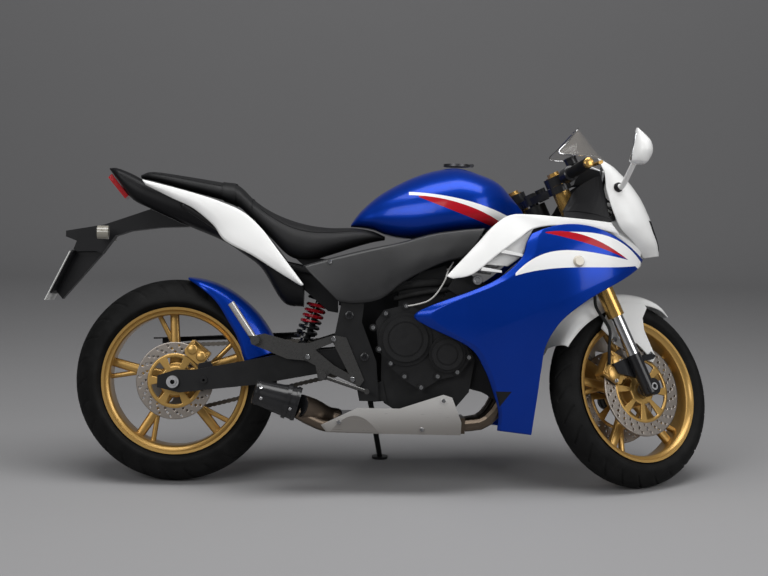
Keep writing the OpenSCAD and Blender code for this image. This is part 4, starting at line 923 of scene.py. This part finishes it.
class BIKE_OT_seat(bpy.types.Operator):
    """Makes the padded seat"""
    bl_idname = "bike.seat"
    bl_label = "Seat"

    # Points round a section, and the fill of its upper and lower half.
    columns = 96
    fills = (0.6, 0.5)
    strap_off = 2.2
    piping_r = 2.0

    def execute(self, context):
        g = section_grid(SEAT_ROWS, 200, self.columns, *self.fills)
        cushion = Shape().grid(g, wrap_cols=True, caps=True)
        seat = piece("seat_cushion", cushion, vinyl(), "dual_seat")
        piece("seat_strap", self.strap(136, 178), vinyl(), thick=1.8, closed=False)
        piece("seat_seams", self.seams(g), moulding())
        return {"FINISHED"}

    def strap(self, x0, x1):
        """A band round the seat between two places along it, just outside the cushion's sections."""
        fine = section_grid(SEAT_ROWS, 600, self.columns, *self.fills)
        band = fine[(fine[:, 0, 0] > x0) & (fine[:, 0, 0] < x1)]
        middle = (band.min(1, keepdims=True) + band.max(1, keepdims=True)) / 2
        return Shape().grid((band + self.strap_off * unit(band - middle))[:, ::-1], wrap_cols=True)

    def seams(self, g):
        """Piping along both shoulders of the rider's and the pillion's part, and round the step between
        them."""
        shape = Shape()
        x = g[:, 0, 0]
        for x0, x1, k in ((250, 606, 14), (-84, 176, 16)):
            for column in (k, self.columns - k):
                tube(shape, g[(x > x0) & (x < x1)][::5, column], self.piping_r, sides=8)
        step = g[np.argmin(abs(x - 232))]
        round_step = np.concatenate([step[70:], step[:27]])[::3]
        tube(shape, round_step, self.piping_r, sides=8, side=(1, 0, 0))
        return shape


class BIKE_OT_panels(bpy.types.Operator):
    """Makes the panels and the screen"""
    bl_idname = "bike.panels"
    bl_label = "Panels"

    louvre_faces = (196, 222.5)

    def execute(self, context):
        white = plain_paint("white")
        panel("tail_panels", both(strip_grid(TAIL_ROWS, 90, 14, 6)), white, "tail_side_panels")
        tray = Shape().grid(section_grid(TRAY_ROWS, 80, 48, 0.35, 0.6), wrap_cols=True, caps=True)
        piece("tail_tray", tray, moulding(), "tail_undertray")
        panel("frame_side_covers", both(strip_grid(COVER_ROWS, 80, 16, 8)), moulding("cover_moulding", 0.55),
              "frame_covers")
        panel("middle_panels", both(strip_grid(MID_ROWS, 100, 14, 3)), white, "mid_panels")
        right = side_grid(150, 70)
        for side, g in (("right", right), ("left", mirrored(right))):
            panel("fairing_" + side, Shape().grid(g), fairing_paint(), "side_fairing_" + side)
        panel("screen", Shape().grid(shield_grid(SCREEN_ROWS, 60, 60)), smoke_screen(),
              "windscreen")
        hugger = rear_wheel(guard_grid(HUGGER_ROWS, 80, 48, 1, 0.3))
        panel("hugger", Shape().grid(hugger), plain_paint("blue"), "rear_hugger")
        louvres = Shape()
        near, far = self.louvre_faces
        for outline in LOUVRES:
            slab(slab(louvres, outline, -far, -near), outline, near, far)
        piece("outlet_louvres", louvres, white, bevel=0.8)
        g = shield_grid(SCREEN_ROWS, 40, 40)
        rim = np.concatenate([g[:0:-3, 0], g[0, ::3], g[1::3, -1]])
        rim_bead = tube(Shape(), rim, 1.8, sides=8, side=(1, 0, 0.3))
        piece("screen_edge", rim_bead, bare("bright_steel"))
        return {"FINISHED"}


class BIKE_OT_mirrors(bpy.types.Operator):
    """Makes the mirrors, the left one folded beside the nose"""
    bl_idname = "bike.mirrors"
    bl_label = "Mirrors"

    # The middle of the right head, and the foot as a share of the nose's rows and a turn.
    middle = (1397, -330, 1050)
    foot = (0.3, -72)

    def execute(self, context):
        foot, out = on_shield(NOSE_ROWS, *self.foot)
        shells, feet = Shape(), Shape()
        for hand, centre, end, long, wide in (
                (1, self.middle, (1396, -330, 1040), (1, 0, 0), (0, -1, 0)),
                (-1, (1432, 192, 900), (1432, 192, 900), (0, 0.8, 0), (1, 0, 0))):
            p, n = foot * [1, hand, 1], out * [1, hand, 1]
            head = self.head(centre, long, wide)
            shells.grid(head, wrap_cols=True, caps=True)
            tube(shells, [p + n * 10, p + n * 33, np.array(end, float)], 8.5, sides=16, side=(0, 0, 1))
            lathe(feet, [(0, 12), (9, 12), (14, 9), (15, 4), (15, 0), (0, 0)], p + n * 0.6, n, 32)
            if hand == 1:
                glass = (head + 0.7 * normals(head))[6:30, 17:24]
        piece("mirror_shells", shells, plain_paint("white"), "mirrors")
        piece("mirror_feet", feet, moulding())
        piece("mirror_glass", Shape().grid(glass), bare("mirror_glass"), thick=1.0,
              closed=False)
        return {"FINISHED"}

    def head(self, centre, long, wide, n=36, m=40):
        """A leaf-shaped mirror head: elliptic rings up its height, their axes along long and wide."""
        r = curve(MIRROR_ROWS, shares(n))[:, None, :]
        t = turns(m)[None, :]
        along = (r[..., 3] - self.middle[0] + r[..., 1] * np.cos(t))[..., None] * np.array(long, float)
        across = (r[..., 2] * np.sin(t))[..., None] * np.array(wide, float)
        up = (r[..., 0] - self.middle[2])[..., None] * np.array([0, 0, 1.0])
        return np.array(centre, float) + along + across + up


class BIKE_OT_wheels(bpy.types.Operator):
    """Makes the tyres and rims"""
    bl_idname = "bike.wheels"
    bl_label = "Wheels"

    # The bead's distance in from the rim's face and its drop below the rim's edge.
    bead_in = 6.3
    bead_drop = 10.5
    # Grooves, as shares of a pitch: slant across the crown, shift between its sides, half width and wall.
    # The reach is in shares of the half crown.
    slant = 0.9
    shift = 0.25
    groove_half = 0.075
    groove_wall = 0.025
    groove_reach = (0.16, 0.86)

    def execute(self, context):
        size = context.scene.bike_sizes
        for name, where, r, w, rim_w, crown, first, hub, faces, depth in (
                ("rear", rear_wheel, REAR_R, REAR_W, REAR_RIM_W, 0.53, 94, 50, (-77.2, 100.2), 15),
                ("front", front_wheel, FRONT_R, FRONT_W, FRONT_RIM_W, 0.52, 100, 44, (-59.2, 59.2), 12)):
            body = name + "_wheel"
            tyre = where(self.tyre(r, crown * w, w, rim_w, size.groove, size.groove_count))
            tread = Shape().grid(tyre, wrap_rows=True, wrap_cols=True)
            piece(name + "_tread", tread, rubber(), name + "_tyre", body, crease=30)
            rim = self.rim(rim_w, first, hub, faces, depth).place(where)
            piece(name + "_cast_rim", rim, gold_cast(), name + "_rim", body, crease=35)
        return {"FINISHED"}

    def tyre(self, r, crown, w, rim_w, depth, pitches, n=624, across=61):
        """The tyre's outside: a round crown of radius crown on a ring, cut off at the section's width, then
        down the wall to the bead. Grooves sink where a slanted wave of the angle and the place across the
        crown is near nought, and fade out at the shoulder."""
        bead = rim_w / 2 - self.bead_in
        bead_r = RIM_R - self.bead_drop
        top = np.arcsin(w / 2 / crown)
        a = np.linspace(-top, top, across)
        over = np.stack([r - crown + crown * np.cos(a), crown * np.sin(a)], -1)
        shoulder = over[-1, 0]
        wall = curve([(shoulder, w / 2), ((shoulder + RIM_R) / 2 + 3, w / 2 - 1.5),
                      (RIM_R + 5, rim_w / 2 - 1), (RIM_R + 0.5, bead), (bead_r, bead)], shares(15))[1:]
        inner = np.stack([np.full(5, bead_r), np.linspace(bead, -bead, 7)[1:-1]], -1)
        profile = np.concatenate([over, wall, inner, (wall * [1, -1])[::-1]])
        t = turns(n)[:, None]
        y = np.concatenate([np.sin(a) / np.sin(top), np.full(len(profile) - across, 2.0)])[None, :]
        phase = pitches * t / (2 * np.pi) + self.slant * abs(y) + self.shift * np.sign(y)
        near = abs((phase % 1.0) - 0.5)
        start, end = self.groove_reach
        reached = (abs(y) > start) & (abs(y) < end)
        cut = np.clip((self.groove_half - near) / self.groove_wall, 0, 1) * reached
        q = profile[None, :, 0] - depth * cut * np.cos(np.clip(y, -1, 1))
        return np.stack(np.broadcast_arrays(q * np.cos(t), profile[None, :, 1], q * np.sin(t)), -1)

    def rim(self, rim_w, first, hub, faces, depth):
        """A cast wheel: a turned rim and hub, and forked spokes of rounded section carried from hub to
        rim."""
        h = rim_w / 2
        # Drop below the rim's edge, and place across from its face: the tyre's side, then the dished
        # inside.
        barrel = [(0, 0), (2, 0.5), (6, 5.9), (11.3, 6), (11.5, 20), (18, 30)]
        dish = [(8, 0.6), (11, 5), (16, 9.5), (21, 12), (24, 18), (25, 34)]
        loop = [(a, -1, b) for a, b in barrel] + [(a, 1, b) for a, b in reversed(barrel)]
        loop = loop + [(a, 1, b) for a, b in dish] + [(a, -1, b) for a, b in reversed(dish)]
        shape = revolve(Shape(), [(RIM_R - a, hand * (h - b)) for a, hand, b in loop], 144)
        near, far = faces
        drum = [(13, near), (hub - 3, near), (hub, near + 3), (hub, -22), (hub + 5, -18), (hub + 5, 18),
                (hub, 22), (hub, far - 3), (hub - 3, far), (13, far)]
        revolve(shape, drum, 64)
        # Each arm's line as radius and offset, and its half width and share of the depth along it.
        arms = (([(44, 0), (120, -1), (RIM_R - 20, -3)], [(21, 1.0), (16, 0.95), (14, 0.9)]),
                ([(118, 6), (158, 24), (RIM_R - 21, 46)], [(9, 0.7), (8, 0.76), (8, 0.8)]))
        for k in range(SPOKES):
            turn = math.radians(first + 360 / SPOKES * k)
            out = np.array([math.cos(turn), 0, math.sin(turn)])
            along = np.array([-math.sin(turn), 0, math.cos(turn)])
            for path, wide in arms:
                line = curve(path, shares(14))
                line = line[:, :1] * out + line[:, 1:] * along
                scale = curve(wide, shares(14)) * [1, depth]
                shape.grid(sweep(line, round_box(1, 1, 3.2, 20), (0, 1, 0), scale), wrap_cols=True, caps=True)
        return shape


class BIKE_OT_brakes(bpy.types.Operator):
    """Makes the drilled discs on their gold carriers, and the calipers"""
    bl_idname = "bike.brakes"
    bl_label = "Brakes"

    bracket = [(70, 15), (76, 57), (112, 65), (130, 35), (90, 15)]
    # Rows of holes as shares of the disc's width, the half width of a carrier's window as a share of a
    # pitch, and the radius inside which a carrier has no window.
    first_row = 0.24
    row_step = 0.26
    window_half = 0.33
    hub_r = 44

    def execute(self, context):
        drill = context.scene.bike_sizes.drill
        gold = gold_cast()
        for name, where, r, inner, slots, holes, ys, node in (
                ("front", front_wheel, FRONT_DISC_R, 100, 8, 24, (-FRONT_DISC_Y, FRONT_DISC_Y),
                 "front_discs"),
                ("rear", rear_wheel, REAR_DISC_R, 80, 6, 20, (REAR_DISC_Y,), "rear_disc")):
            rings, carriers = Shape(), Shape()
            for y in ys:
                self.ring(rings, r, inner, y + 2.5, holes, drill)
                self.carrier(carriers, inner, y + 3.0, slots)
            body = name + "_wheel"
            piece(name + "_brake_rings", rings.place(where), bare("disc_steel"), node, body,
                  5.0, closed=False)
            piece(name + "_carriers", carriers.place(where), gold, "", body, 6.0, closed=False)
        rear, front = Shape(), Shape()
        self.caliper(rear, 52, 86, 138, 36, -111, -58, REAR_DISC_Y, REAR_DISC_R)
        for hand in (-1, 1):
            self.caliper(front, 152, 88, 166, 44, hand * 82, hand * 41, hand * FRONT_DISC_Y, FRONT_DISC_R)
        bracket = slab(Shape(), self.bracket, -118.7, -110.3)
        piece("rear_caliper_body", rear.place(rear_wheel), gold, "rear_caliper", bevel=2.5)
        piece("caliper_bracket", bracket.place(rear_wheel), gloss_black(), bevel=1.0)
        piece("front_caliper_bodies", front.place(front_wheel), gold, "front_calipers", "fork",
              bevel=2.5)
        return {"FINISHED"}

    def caliper(self, shape, angle, near, far, half, outer, inner, disc_y, disc_r):
        """A caliper at an angle round the axle: a plate on each side of the disc, a bridge outside its rim,
        and two piston caps and two pins on the outer plate."""
        hand = math.copysign(1, disc_y)
        turn = math.radians(angle)
        along = np.array([[math.cos(turn), math.sin(turn)], [-math.sin(turn), math.cos(turn)]])

        def block(low, high, y0, y1):
            c = min(10, (high - low) / 3)
            corners = [(low, c - half), (low, half - c), (low + c, half), (high - c, half), (high, half - c),
                       (high, c - half), (high - c, -half), (low + c, -half)]
            slab(shape, np.array(corners) @ along, y0, y1)
        block(near, far, disc_y + hand * 8, outer)
        block(near, far, disc_y - hand * 8, inner)
        block(disc_r + 6, far, inner, outer)
        r = (far - near) * 0.3
        for share in (-0.48, 0.48):
            x, z = np.array([(near + far) / 2, share * half]) @ along
            px, pz = np.array([far - 9, share * half * 1.6]) @ along
            lathe(shape, [(0, 5), (r - 4, 5), (r, 2), (r, -2), (0, -2)], (x, outer, z), (0, hand, 0), 32)
            bolt(shape, (px, outer, pz), (0, hand, 0), 6, 5)

    def polar(self, shape, inner, outer, y, n, m, cut):
        """A flat ring of polar quads, without those that cut picks by the angle and radius of their
        middles."""
        t = turns(n)[:, None]
        q = np.linspace(inner, outer, m)[None, :]
        gone = cut(t + np.pi / n, (q[:, 1:] + q[:, :-1]) / 2)
        g = np.stack(np.broadcast_arrays(q * np.cos(t), y, q * np.sin(t)), -1)
        shape.grid(g, wrap_rows=True, keep=~gone)

    def ring(self, shape, r, inner, y, holes, drill):
        """A disc with three staggered rows of drilled holes."""
        def drilled(t, q):
            pitch = 2 * np.pi / holes
            row = np.arange(3)[:, None, None]
            turn = (t - row * pitch / 3 + pitch / 2) % pitch - pitch / 2
            off = q - inner - (r - inner) * (self.first_row + self.row_step * row)
            return (np.hypot(turn * q, off) < drill).any(0)
        self.polar(shape, inner, r, y, 480, 18, drilled)

    def carrier(self, shape, inner, y, slots):
        """A ring from the hub to the disc, with a window between each two arms."""
        def window(t, q):
            near = abs((t * slots / (2 * np.pi)) % 1 - 0.5) < self.window_half
            return near & (q > self.hub_r) & (q < inner - 6)
        self.polar(shape, 25, inner + 5, y, 240, 16, window)


class BIKE_OT_fork(bpy.types.Operator):
    """Makes the front mudguard, the brake hoses and the hand controls"""
    bl_idname = "bike.fork"
    bl_label = "Front end"

    # In the front wheel's own frame: the faces of the strut, the screws (x, z, half width, radius) and a
    # hose.
    strut_faces = (69.5, 75.7)
    screws = ((40, 116, 75.7, 8), (-105, 152, 75.7, 8), (-92, 84, 82, 7), (-118, 18, 82, 7))
    hose = [(-144, 88, 66), (-146, 98, 120), (-142, 101, 178), (-186, 101, 241), (-189, 98, 292),
            (-205, 80, 380), (-214, 45, 446)]
    # In the fork's own frame: the left bar's root and tip, and its lever.
    bar_root = np.array([28, FORK_Y + 30, 1022])
    bar_tip = np.array([-34, 338, 1031])
    lever = [(66, 190, 1027.8), (60, 214, 1026), (40, 280, 1021.6), (24, 332, 1018)]

    def execute(self, context):
        white = plain_paint("white")
        guard = front_wheel(guard_grid(GUARD_ROWS, 90, 48, -1))
        panel("front_guard", Shape().grid(guard), white, "front_mudguard", "fork")
        struts, screws, hoses = Shape(), Shape(), Shape()
        for hand in (-1, 1):
            slab(struts, STRUT, *(hand * y for y in self.strut_faces))
            for x, z, y, r in self.screws:
                bolt(screws, (x, hand * y, z), (0, hand, 0), r, 6)
            tube(hoses, np.array(self.hose) * [1, hand, 1], 5.0, sides=12)
        piece("guard_struts", struts.place(front_wheel), white, body="fork", bevel=1.5)
        piece("fork_screws", screws.place(front_wheel), bare("bright_steel"), body="fork")
        piece("brake_hoses", hoses.place(front_wheel), rubber("hose_rubber", 0.02),
              body="fork")
        self.controls()
        return {"FINISHED"}

    def controls(self):
        """Gold levers and bar ends and black switch housings on both bars, and the brake fluid cup on the
        right one."""
        gold, cup = Shape(), Shape()
        bar = self.bar_tip - self.bar_root
        for hand in (-1, 1):
            flip = np.array([1, hand, 1])
            blade = curve(np.array(self.lever) * flip, shares(25))
            gold.grid(sweep(blade, round_box(7.5, 5.4, 3, 16), (0, 0, 1)), wrap_cols=True, caps=True)
            lathe(gold, [(0, 16), (11, 16), (15, 13), (15, 0), (0, 0)], self.bar_tip * flip, bar * flip, 32)
            lathe(cup, [(0, 52), (19, 52), (24, 48), (24, 4), (19, 0), (0, 0)],
                  (self.bar_root + 0.16 * bar) * flip, bar * flip, 32)
        lathe(cup, [(0, 26), (17, 26), (21, 24), (21, 19), (19.5, 18), (19.5, 2), (15, 0), (0, 0)],
              (64, -169, 1048), (0, 0, 1), 32)
        tube(cup, [(62, -168, 1036), (63, -168.5, 1043), (64, -169, 1050)], 6.0, sides=12)
        piece("gold_controls", gold.place(steer), gold_tube(), body="fork")
        piece("fluid_cup", cup.place(steer), gloss_black(), body="fork")


class BIKE_OT_fasteners(bpy.types.Operator):
    """Makes the screws, the cable and the exhaust's bands"""
    bl_idname = "bike.fasteners"
    bl_label = "Fasteners"

    # Half width of the face, head radius, and places in side view.
    both_sides = ((167.4, 13, [(538, 530), (587, 403)]), (176.8, 8, [(492, 456), (552, 334), (413, 400)]),
                  (155.0, 7, [(475, 693)]), (213.0, 7, [(799, 531)]))
    right_only = ((172.0, 7, [(612, 494), (632, 428), (668, 385), (711, 346), (763, 313), (813, 348),
                              (873, 362), (908, 408), (650, 538), (712, 562), (866, 470)]),
                  (192.0, 7, [(767, 186), (832, 275)]), (195.0, 7, [(513, 204)]))
    cap_r = 9
    # The ring of screws on the left cover: its middle, radius and count.
    left_ring = (841, 416, 68, 6)
    cable = [(856, -140, 700), (838, -160, 668), (830, -170, 644), (806, -174, 604), (779, -176, 579),
             (738, -176, 566), (712, -174, 562)]
    # The middle of the can's front and rear end, its radius at the front and what it loses to the rear.
    can_front = np.array([388, -202, 256.0])
    can_rear = np.array([256, -206, 292.0])
    can_r = 52
    can_taper = 14

    def execute(self, context):
        screws, bosses, caps = Shape(), Shape(), Shape()
        for hands, groups in (((-1, 1), self.both_sides), ((-1,), self.right_only)):
            for half, r, places in groups:
                for x, z in places:
                    for hand in hands:
                        bolt(caps if r > self.cap_r else screws, (x, hand * half, z), (0, hand, 0), r, 6)
        ring_x, ring_z, ring_r, count = self.left_ring
        for t in turns(count):
            bolt(screws, (ring_x + ring_r * np.cos(t), 168, ring_z + ring_r * np.sin(t)), (0, 1, 0), 6, 5)
        boss = [(0, 22), (7, 22), (9, 26), (14, 26), (15.5, 22), (15.5, 0), (0, 0)]
        for hand in (-1, 1):
            lathe(bosses, boss, (929, hand * 162, 646), (0, hand, 0), 32)
        piece("side_screws", screws, bare("bright_steel"))
        piece("pivot_caps", caps, gloss_black())
        piece("hanger_bolts", bosses, bare("satin_alloy"))
        sheath = lens_finish("pale_sheath", (0.45, 0.44, 0.42), (0.4, 0.6))
        piece("clutch_cable", tube(Shape(), self.cable, 2.4, sides=12), sheath)
        self.exhaust()
        return {"FINISHED"}

    def exhaust(self):
        """Bands and rivets on the can, its open end, and the browned link pipes that run into it."""
        front, run = self.can_front, self.can_rear - self.can_front
        d = unit(run)
        bands, pipes, end, rivets = Shape(), Shape(), Shape(), Shape()
        for share in (0.03, 0.9):
            r = self.can_r - self.can_taper * share
            band = [(r - 3, 0), (r + 1.5, 0.6), (r + 1.5, 8), (r - 3, 9)]
            lathe(bands, band, front + run * share, d, 48, loop=True)
        for share, lift in ((0.14, 0.55), (0.14, -0.35), (0.82, 0.5), (0.82, -0.3)):
            out = unit(np.array([0, -math.cos(lift), math.sin(lift)]) + d * 0.1)
            skin_r = self.can_r - 0.6 - self.can_taper * share
            bolt(rivets, front + run * share + out * skin_r, out, 5, 4)
        lathe(end, [(0, -14), (20, -14), (22, 3), (25, 4), (34, 3), (37.4, 0.3), (30, -1), (0, -16)],
              self.can_rear, d, 40)
        for line, r, sides in (
                ([(506, -109, 204.5), (472, -122, 212), (432, -162, 236), (394, -198, 251)], 36.2, 32),
                ([(512, -158, 188), (468, -168, 192), (424, -184, 210), (384, -196, 232)], 19.0, 24)):
            tube(pipes, line, r, 24, sides, (0, 0, 1))
        piece("can_bands", bands, gloss_black())
        piece("can_rivets", rivets, bare("bright_steel"))
        piece("can_end", end, gloss_black())
        piece("link_pipes", pipes, heat_steel())


class BIKE_OT_inner(bpy.types.Operator):
    """Makes the parts behind the panels that close the gaps between them, among them black plates that stand
    in for the dark parts and the shade seen through the gaps
    """
    bl_idname = "bike.inner"
    bl_label = "Inner parts"

    # Half width and side outline of each black plate, a stand-in for dark parts and shade behind the panels.
    plates = ((70, [(358, 684), (415, 685), (502, 573), (503, 536), (472, 541), (394, 608)]),
              (56, [(492, 601), (608, 629), (700, 634), (703, 549), (674, 454), (678, 266), (603, 258),
                    (563, 352), (542, 483)]),
              (70, [(352, 716), (420, 706), (520, 700), (620, 716), (620, 690), (500, 668), (400, 676)]),
              (120, [(917, 475), (1006, 446), (1025, 262), (997, 276), (952, 300), (902, 312), (913, 359)]))
    # Radius and line of each hose.
    hoses = ((13, [(640, -96, 600), (700, -112, 622), (780, -118, 636), (880, -120, 640)]),
             (8, [(676, -120, 584), (740, -132, 600), (812, -134, 612), (890, -132, 622)]))

    def execute(self, context):
        plates, hoses = Shape(), Shape()
        for half, outline in self.plates:
            slab(plates, outline, -half, half)
        for r, line in self.hoses:
            for hand in (1, -1):
                tube(hoses, np.array(line) * [1, hand, 1], r, 20, 16)
        white, black = plain_paint("white"), moulding()
        # Painted shade: black plates in the middle stand in for the dark parts and the shade seen through the
        # gaps.
        piece("inner_plates", plates, black, bevel=2.0)
        piece("intake_hoses", hoses, rubber("hose_rubber", 0.02))
        panel("outlet_infill", both(strip_grid(INFILL_ROWS, 40, 10, 0)), white)
        panel("nose_infill", both(strip_grid(NOSE_FILL, 30, 8, 0)), white)
        panel("cockpit_trim", both(strip_grid(TRIM_ROWS, 50, 8, 0)), black)
        return {"FINISHED"}


class BIKE_OT_nose(bpy.types.Operator):
    """Makes the nose with its lamp openings"""
    bl_idname = "bike.nose"
    bl_label = "Nose"

    # The lamps lie ahead of this x.
    lamp_x = 1400

    def execute(self, context):
        g = shield_grid(NOSE_ROWS, 170, 170)
        mid = (g[1:, 1:] + g[:-1, 1:] + g[1:, :-1] + g[:-1, :-1]) / 4
        lamp = inside(abs(mid[..., 1]), mid[..., 2], LAMP) & (mid[..., 0] > self.lamp_x)
        panel("nose_skin", Shape().grid(g, keep=~lamp), plain_paint("white"), "nose_cowl")
        piece("lamp_gaskets", self.gaskets(g), moulding())
        return {"FINISHED"}

    def gaskets(self, g):
        """A rubber bead round each lamp opening, laid on the nose where its points are nearest to the
        outline."""
        skin = g[g[..., 0] > self.lamp_x]
        loop = np.concatenate([LAMP, LAMP[:1]]).astype(float)
        line = loop[:-1, None] + (loop[1:] - loop[:-1])[:, None] * shares(9)[None, :-1, None]
        line = np.concatenate([line.reshape(-1, 2), loop[:1]])
        shape = Shape()
        for hand in (-1, 1):
            off_y, off_z = skin[None, :, 1] - hand * line[:, :1], skin[None, :, 2] - line[:, 1:]
            near = np.argmin(np.hypot(off_y, off_z), 1)
            path = np.stack([skin[near, 0] - 1.0, hand * line[:, 0], line[:, 1]], -1)
            shape.grid(sweep(path, ring(2.0, 10), (1, 0, 0)), wrap_cols=True, caps=True)
        return shape


class BIKE_OT_finishes(bpy.types.Operator):
    """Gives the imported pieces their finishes"""
    bl_idname = "bike.finishes"
    bl_label = "Finishes"

    def execute(self, context):
        red_lens = lens_finish("red_lens", (0.42, 0.008, 0.012), Coat_Weight=0.6)
        lamp_lens = lens_finish("lamp_lens", (0.62, 0.66, 0.70), Metallic=0.6, Coat_Weight=1.0)
        for material, names in (
                (engine_paint(), ("engine_block", "engine_cover_right", "engine_cover_left")),
                (satin_black(), ("main_frame", "swingarm", "side_stand", "seat_subframe", "fairing_stay")),
                (bare("dark_alloy"), ("radiator", "filler_cap")),
                (hanger_alloy(), ("footrests_right", "footrests_left")),
                (bare("satin_alloy"), ("rear_axle", "front_axle")),
                (gloss_black(), ("fork_yokes", "rear_shock", "fork_lowers", "handlebars", "dash_panel",
                                 "exhaust_silencer")),
                (moulding(), ("plate_bracket", "chain_guard", "inner_panels")),
                (gold_tube(), ("fork_tubes",)),
                (bare("bright_steel"), ("fork_sliders",)),
                (brushed_sheet(), ("exhaust_shield",)),
                (heat_steel(), ("exhaust_headers",)),
                (bare("chain_steel"), ("drive_chain", "rear_sprocket")),
                (red_spring(), ("shock_spring",)),
                (plate_blank(), ("number_plate",)),
                (rubber(), ("grips",)),
                (red_lens, ("tail_light",)),
                (lamp_lens, ("headlight",)),
                (indicator_lens(), ("indicators",))):
            for name in names:
                materials = frame["nodes"][name].data.materials
                materials.clear()
                materials.append(material)
        return {"FINISHED"}


class BIKE_OT_stage(bpy.types.Operator):
    """Makes the floor, the lights and the camera"""
    bl_idname = "bike.stage"
    bl_label = "Stage"

    # The camera's place and turn in bike axes, fitted to the wheels and the outline.
    camera_at = (533.0, -5898.0, 579.0)
    yaw = math.radians(1.1)
    pitch = math.radians(-0.37)
    roll = math.radians(1.18)
    # Each light's name, place, aim, size and power.
    boxes = (("top_box", (0.1, -0.6, 3.6), (0.0, 0.0, 0.5), (4.2, 1.6), 114),
             ("front_box", (-2.6, -4.2, 2.6), (0.0, 0.0, 0.5), (2.6, 2.0), 80),
             ("nose_box", (3.4, -2.6, 2.2), (0.2, 0.0, 0.5), (2.6, 2.6), 72))

    def execute(self, context):
        scene = context.scene
        scene.view_settings.view_transform = "Standard"
        self.camera(scene)
        self.floor()
        self.lights(scene)
        return {"FINISHED"}

    def camera(self, scene):
        """The camera, turned by yaw, pitch and roll in bike axes and carried into the row frame."""
        d = np.array([math.sin(self.yaw) * math.cos(self.pitch), math.cos(self.yaw) * math.cos(self.pitch),
                      -math.sin(self.pitch)])
        right = np.array([math.cos(self.yaw), -math.sin(self.yaw), 0])
        up = np.cross(right, d)
        c, s = math.cos(self.roll), math.sin(self.roll)
        right, up = c * right + s * up, c * up - s * right
        turn = AXES @ np.stack([right, up, -d], 1)
        data = bpy.data.cameras.new("photo_camera")
        data.lens = scene.bike_sizes.lens
        data.sensor_width = 36.0
        data.clip_end = 100.0
        camera = bpy.data.objects.new("photo_camera", data)
        matrix = Matrix(turn.tolist()).to_4x4()
        matrix.translation = park(self.camera_at).tolist()
        camera.matrix_world = matrix
        scene.collection.objects.link(camera)
        scene.camera = camera

    def floor(self):
        """A floor that sweeps up into a backdrop by a quarter circle, with painted light that makes it paler
        with height.
        """
        front, reach, radius, high, half = -9.0, 4.2, 2.0, 7.0, 11
        t = np.linspace(0, np.pi / 2, 24)
        bend = np.stack([reach + radius * np.sin(t), radius * (1 - np.cos(t))], -1)
        line = np.concatenate([[(front, 0.0)], bend, [(reach + radius, high)]])
        g = np.stack(np.broadcast_arrays(np.array([[-half, half]]), line[:, :1], line[:, 1:]), -1)
        shape = Shape().grid(g)
        mesh = bpy.data.meshes.new("studio_floor")
        mesh.from_pydata(np.concatenate(shape.points).tolist(), [], shape.faces)
        mesh.shade_smooth()
        tone = colours()["floor"]
        # Painted light: with height the tone rises to 1.45 times the floor's, so the backdrop is paler than
        # the lamps alone make it.
        mesh.materials.append(finish("studio_floor", lambda p: {
            "Base Color": p.part(2).soft(0.3, 3.5).mix(p.noise(0.6).mix(shade(tone, 0.95), tone),
                                                       shade(tone, 1.45)),
            "Roughness": p.noise(3.0).between(0.75, 0.9)}))
        floor = bpy.data.objects.new("studio_floor", mesh)
        bpy.context.scene.collection.objects.link(floor)

    def lights(self, scene):
        """A long soft box overhead, one beside the camera and one ahead of the nose, over a dim grey
        world."""
        for name, at, to, size, power in self.boxes:
            data = bpy.data.lights.new(name, "AREA")
            data.shape = "RECTANGLE"
            data.size, data.size_y = size
            data.energy = power
            lamp = bpy.data.objects.new(name, data)
            lamp.location = at
            lamp.rotation_euler = (Vector(to) - Vector(at)).to_track_quat("-Z", "Y").to_euler()
            scene.collection.objects.link(lamp)
        world = bpy.data.worlds.new("studio")
        scene.world = world
        world.use_nodes = True
        back = world.node_tree.nodes["Background"]
        back.inputs["Color"].default_value = (0.62, 0.63, 0.65, 1)
        back.inputs["Strength"].default_value = 0.19


class BIKE_PT_panel(bpy.types.Panel):
    """Lists the bike's colours, sizes and steps"""
    bl_idname = "BIKE_PT_panel"
    bl_label = "Sport bike"
    bl_space_type = "VIEW_3D"
    bl_region_type = "UI"
    bl_category = "Sport bike"

    def draw(self, context):
        for group in (context.scene.bike_colours, context.scene.bike_sizes):
            for key in group.__annotations__:
                self.layout.prop(group, key)
        for step in STEPS:
            self.layout.operator(step.bl_idname)


STEPS = (BIKE_OT_stage, BIKE_OT_finishes, BIKE_OT_tank, BIKE_OT_seat, BIKE_OT_panels, BIKE_OT_inner,
         BIKE_OT_nose, BIKE_OT_mirrors, BIKE_OT_wheels, BIKE_OT_brakes, BIKE_OT_fork, BIKE_OT_fasteners)
CLASSES = (BikeColours, BikeSizes) + STEPS + (BIKE_PT_panel,)


def register():
    for made in CLASSES:
        bpy.utils.register_class(made)
    bpy.types.Scene.bike_colours = PointerProperty(type=BikeColours)
    bpy.types.Scene.bike_sizes = PointerProperty(type=BikeSizes)


def unregister():
    del bpy.types.Scene.bike_sizes
    del bpy.types.Scene.bike_colours
    for made in reversed(CLASSES):
        bpy.utils.unregister_class(made)


def main():
    register()
    for step in STEPS:
        group, name = step.bl_idname.split(".")
        getattr(getattr(bpy.ops, group), name)()


if __name__ == "__main__":
    main()
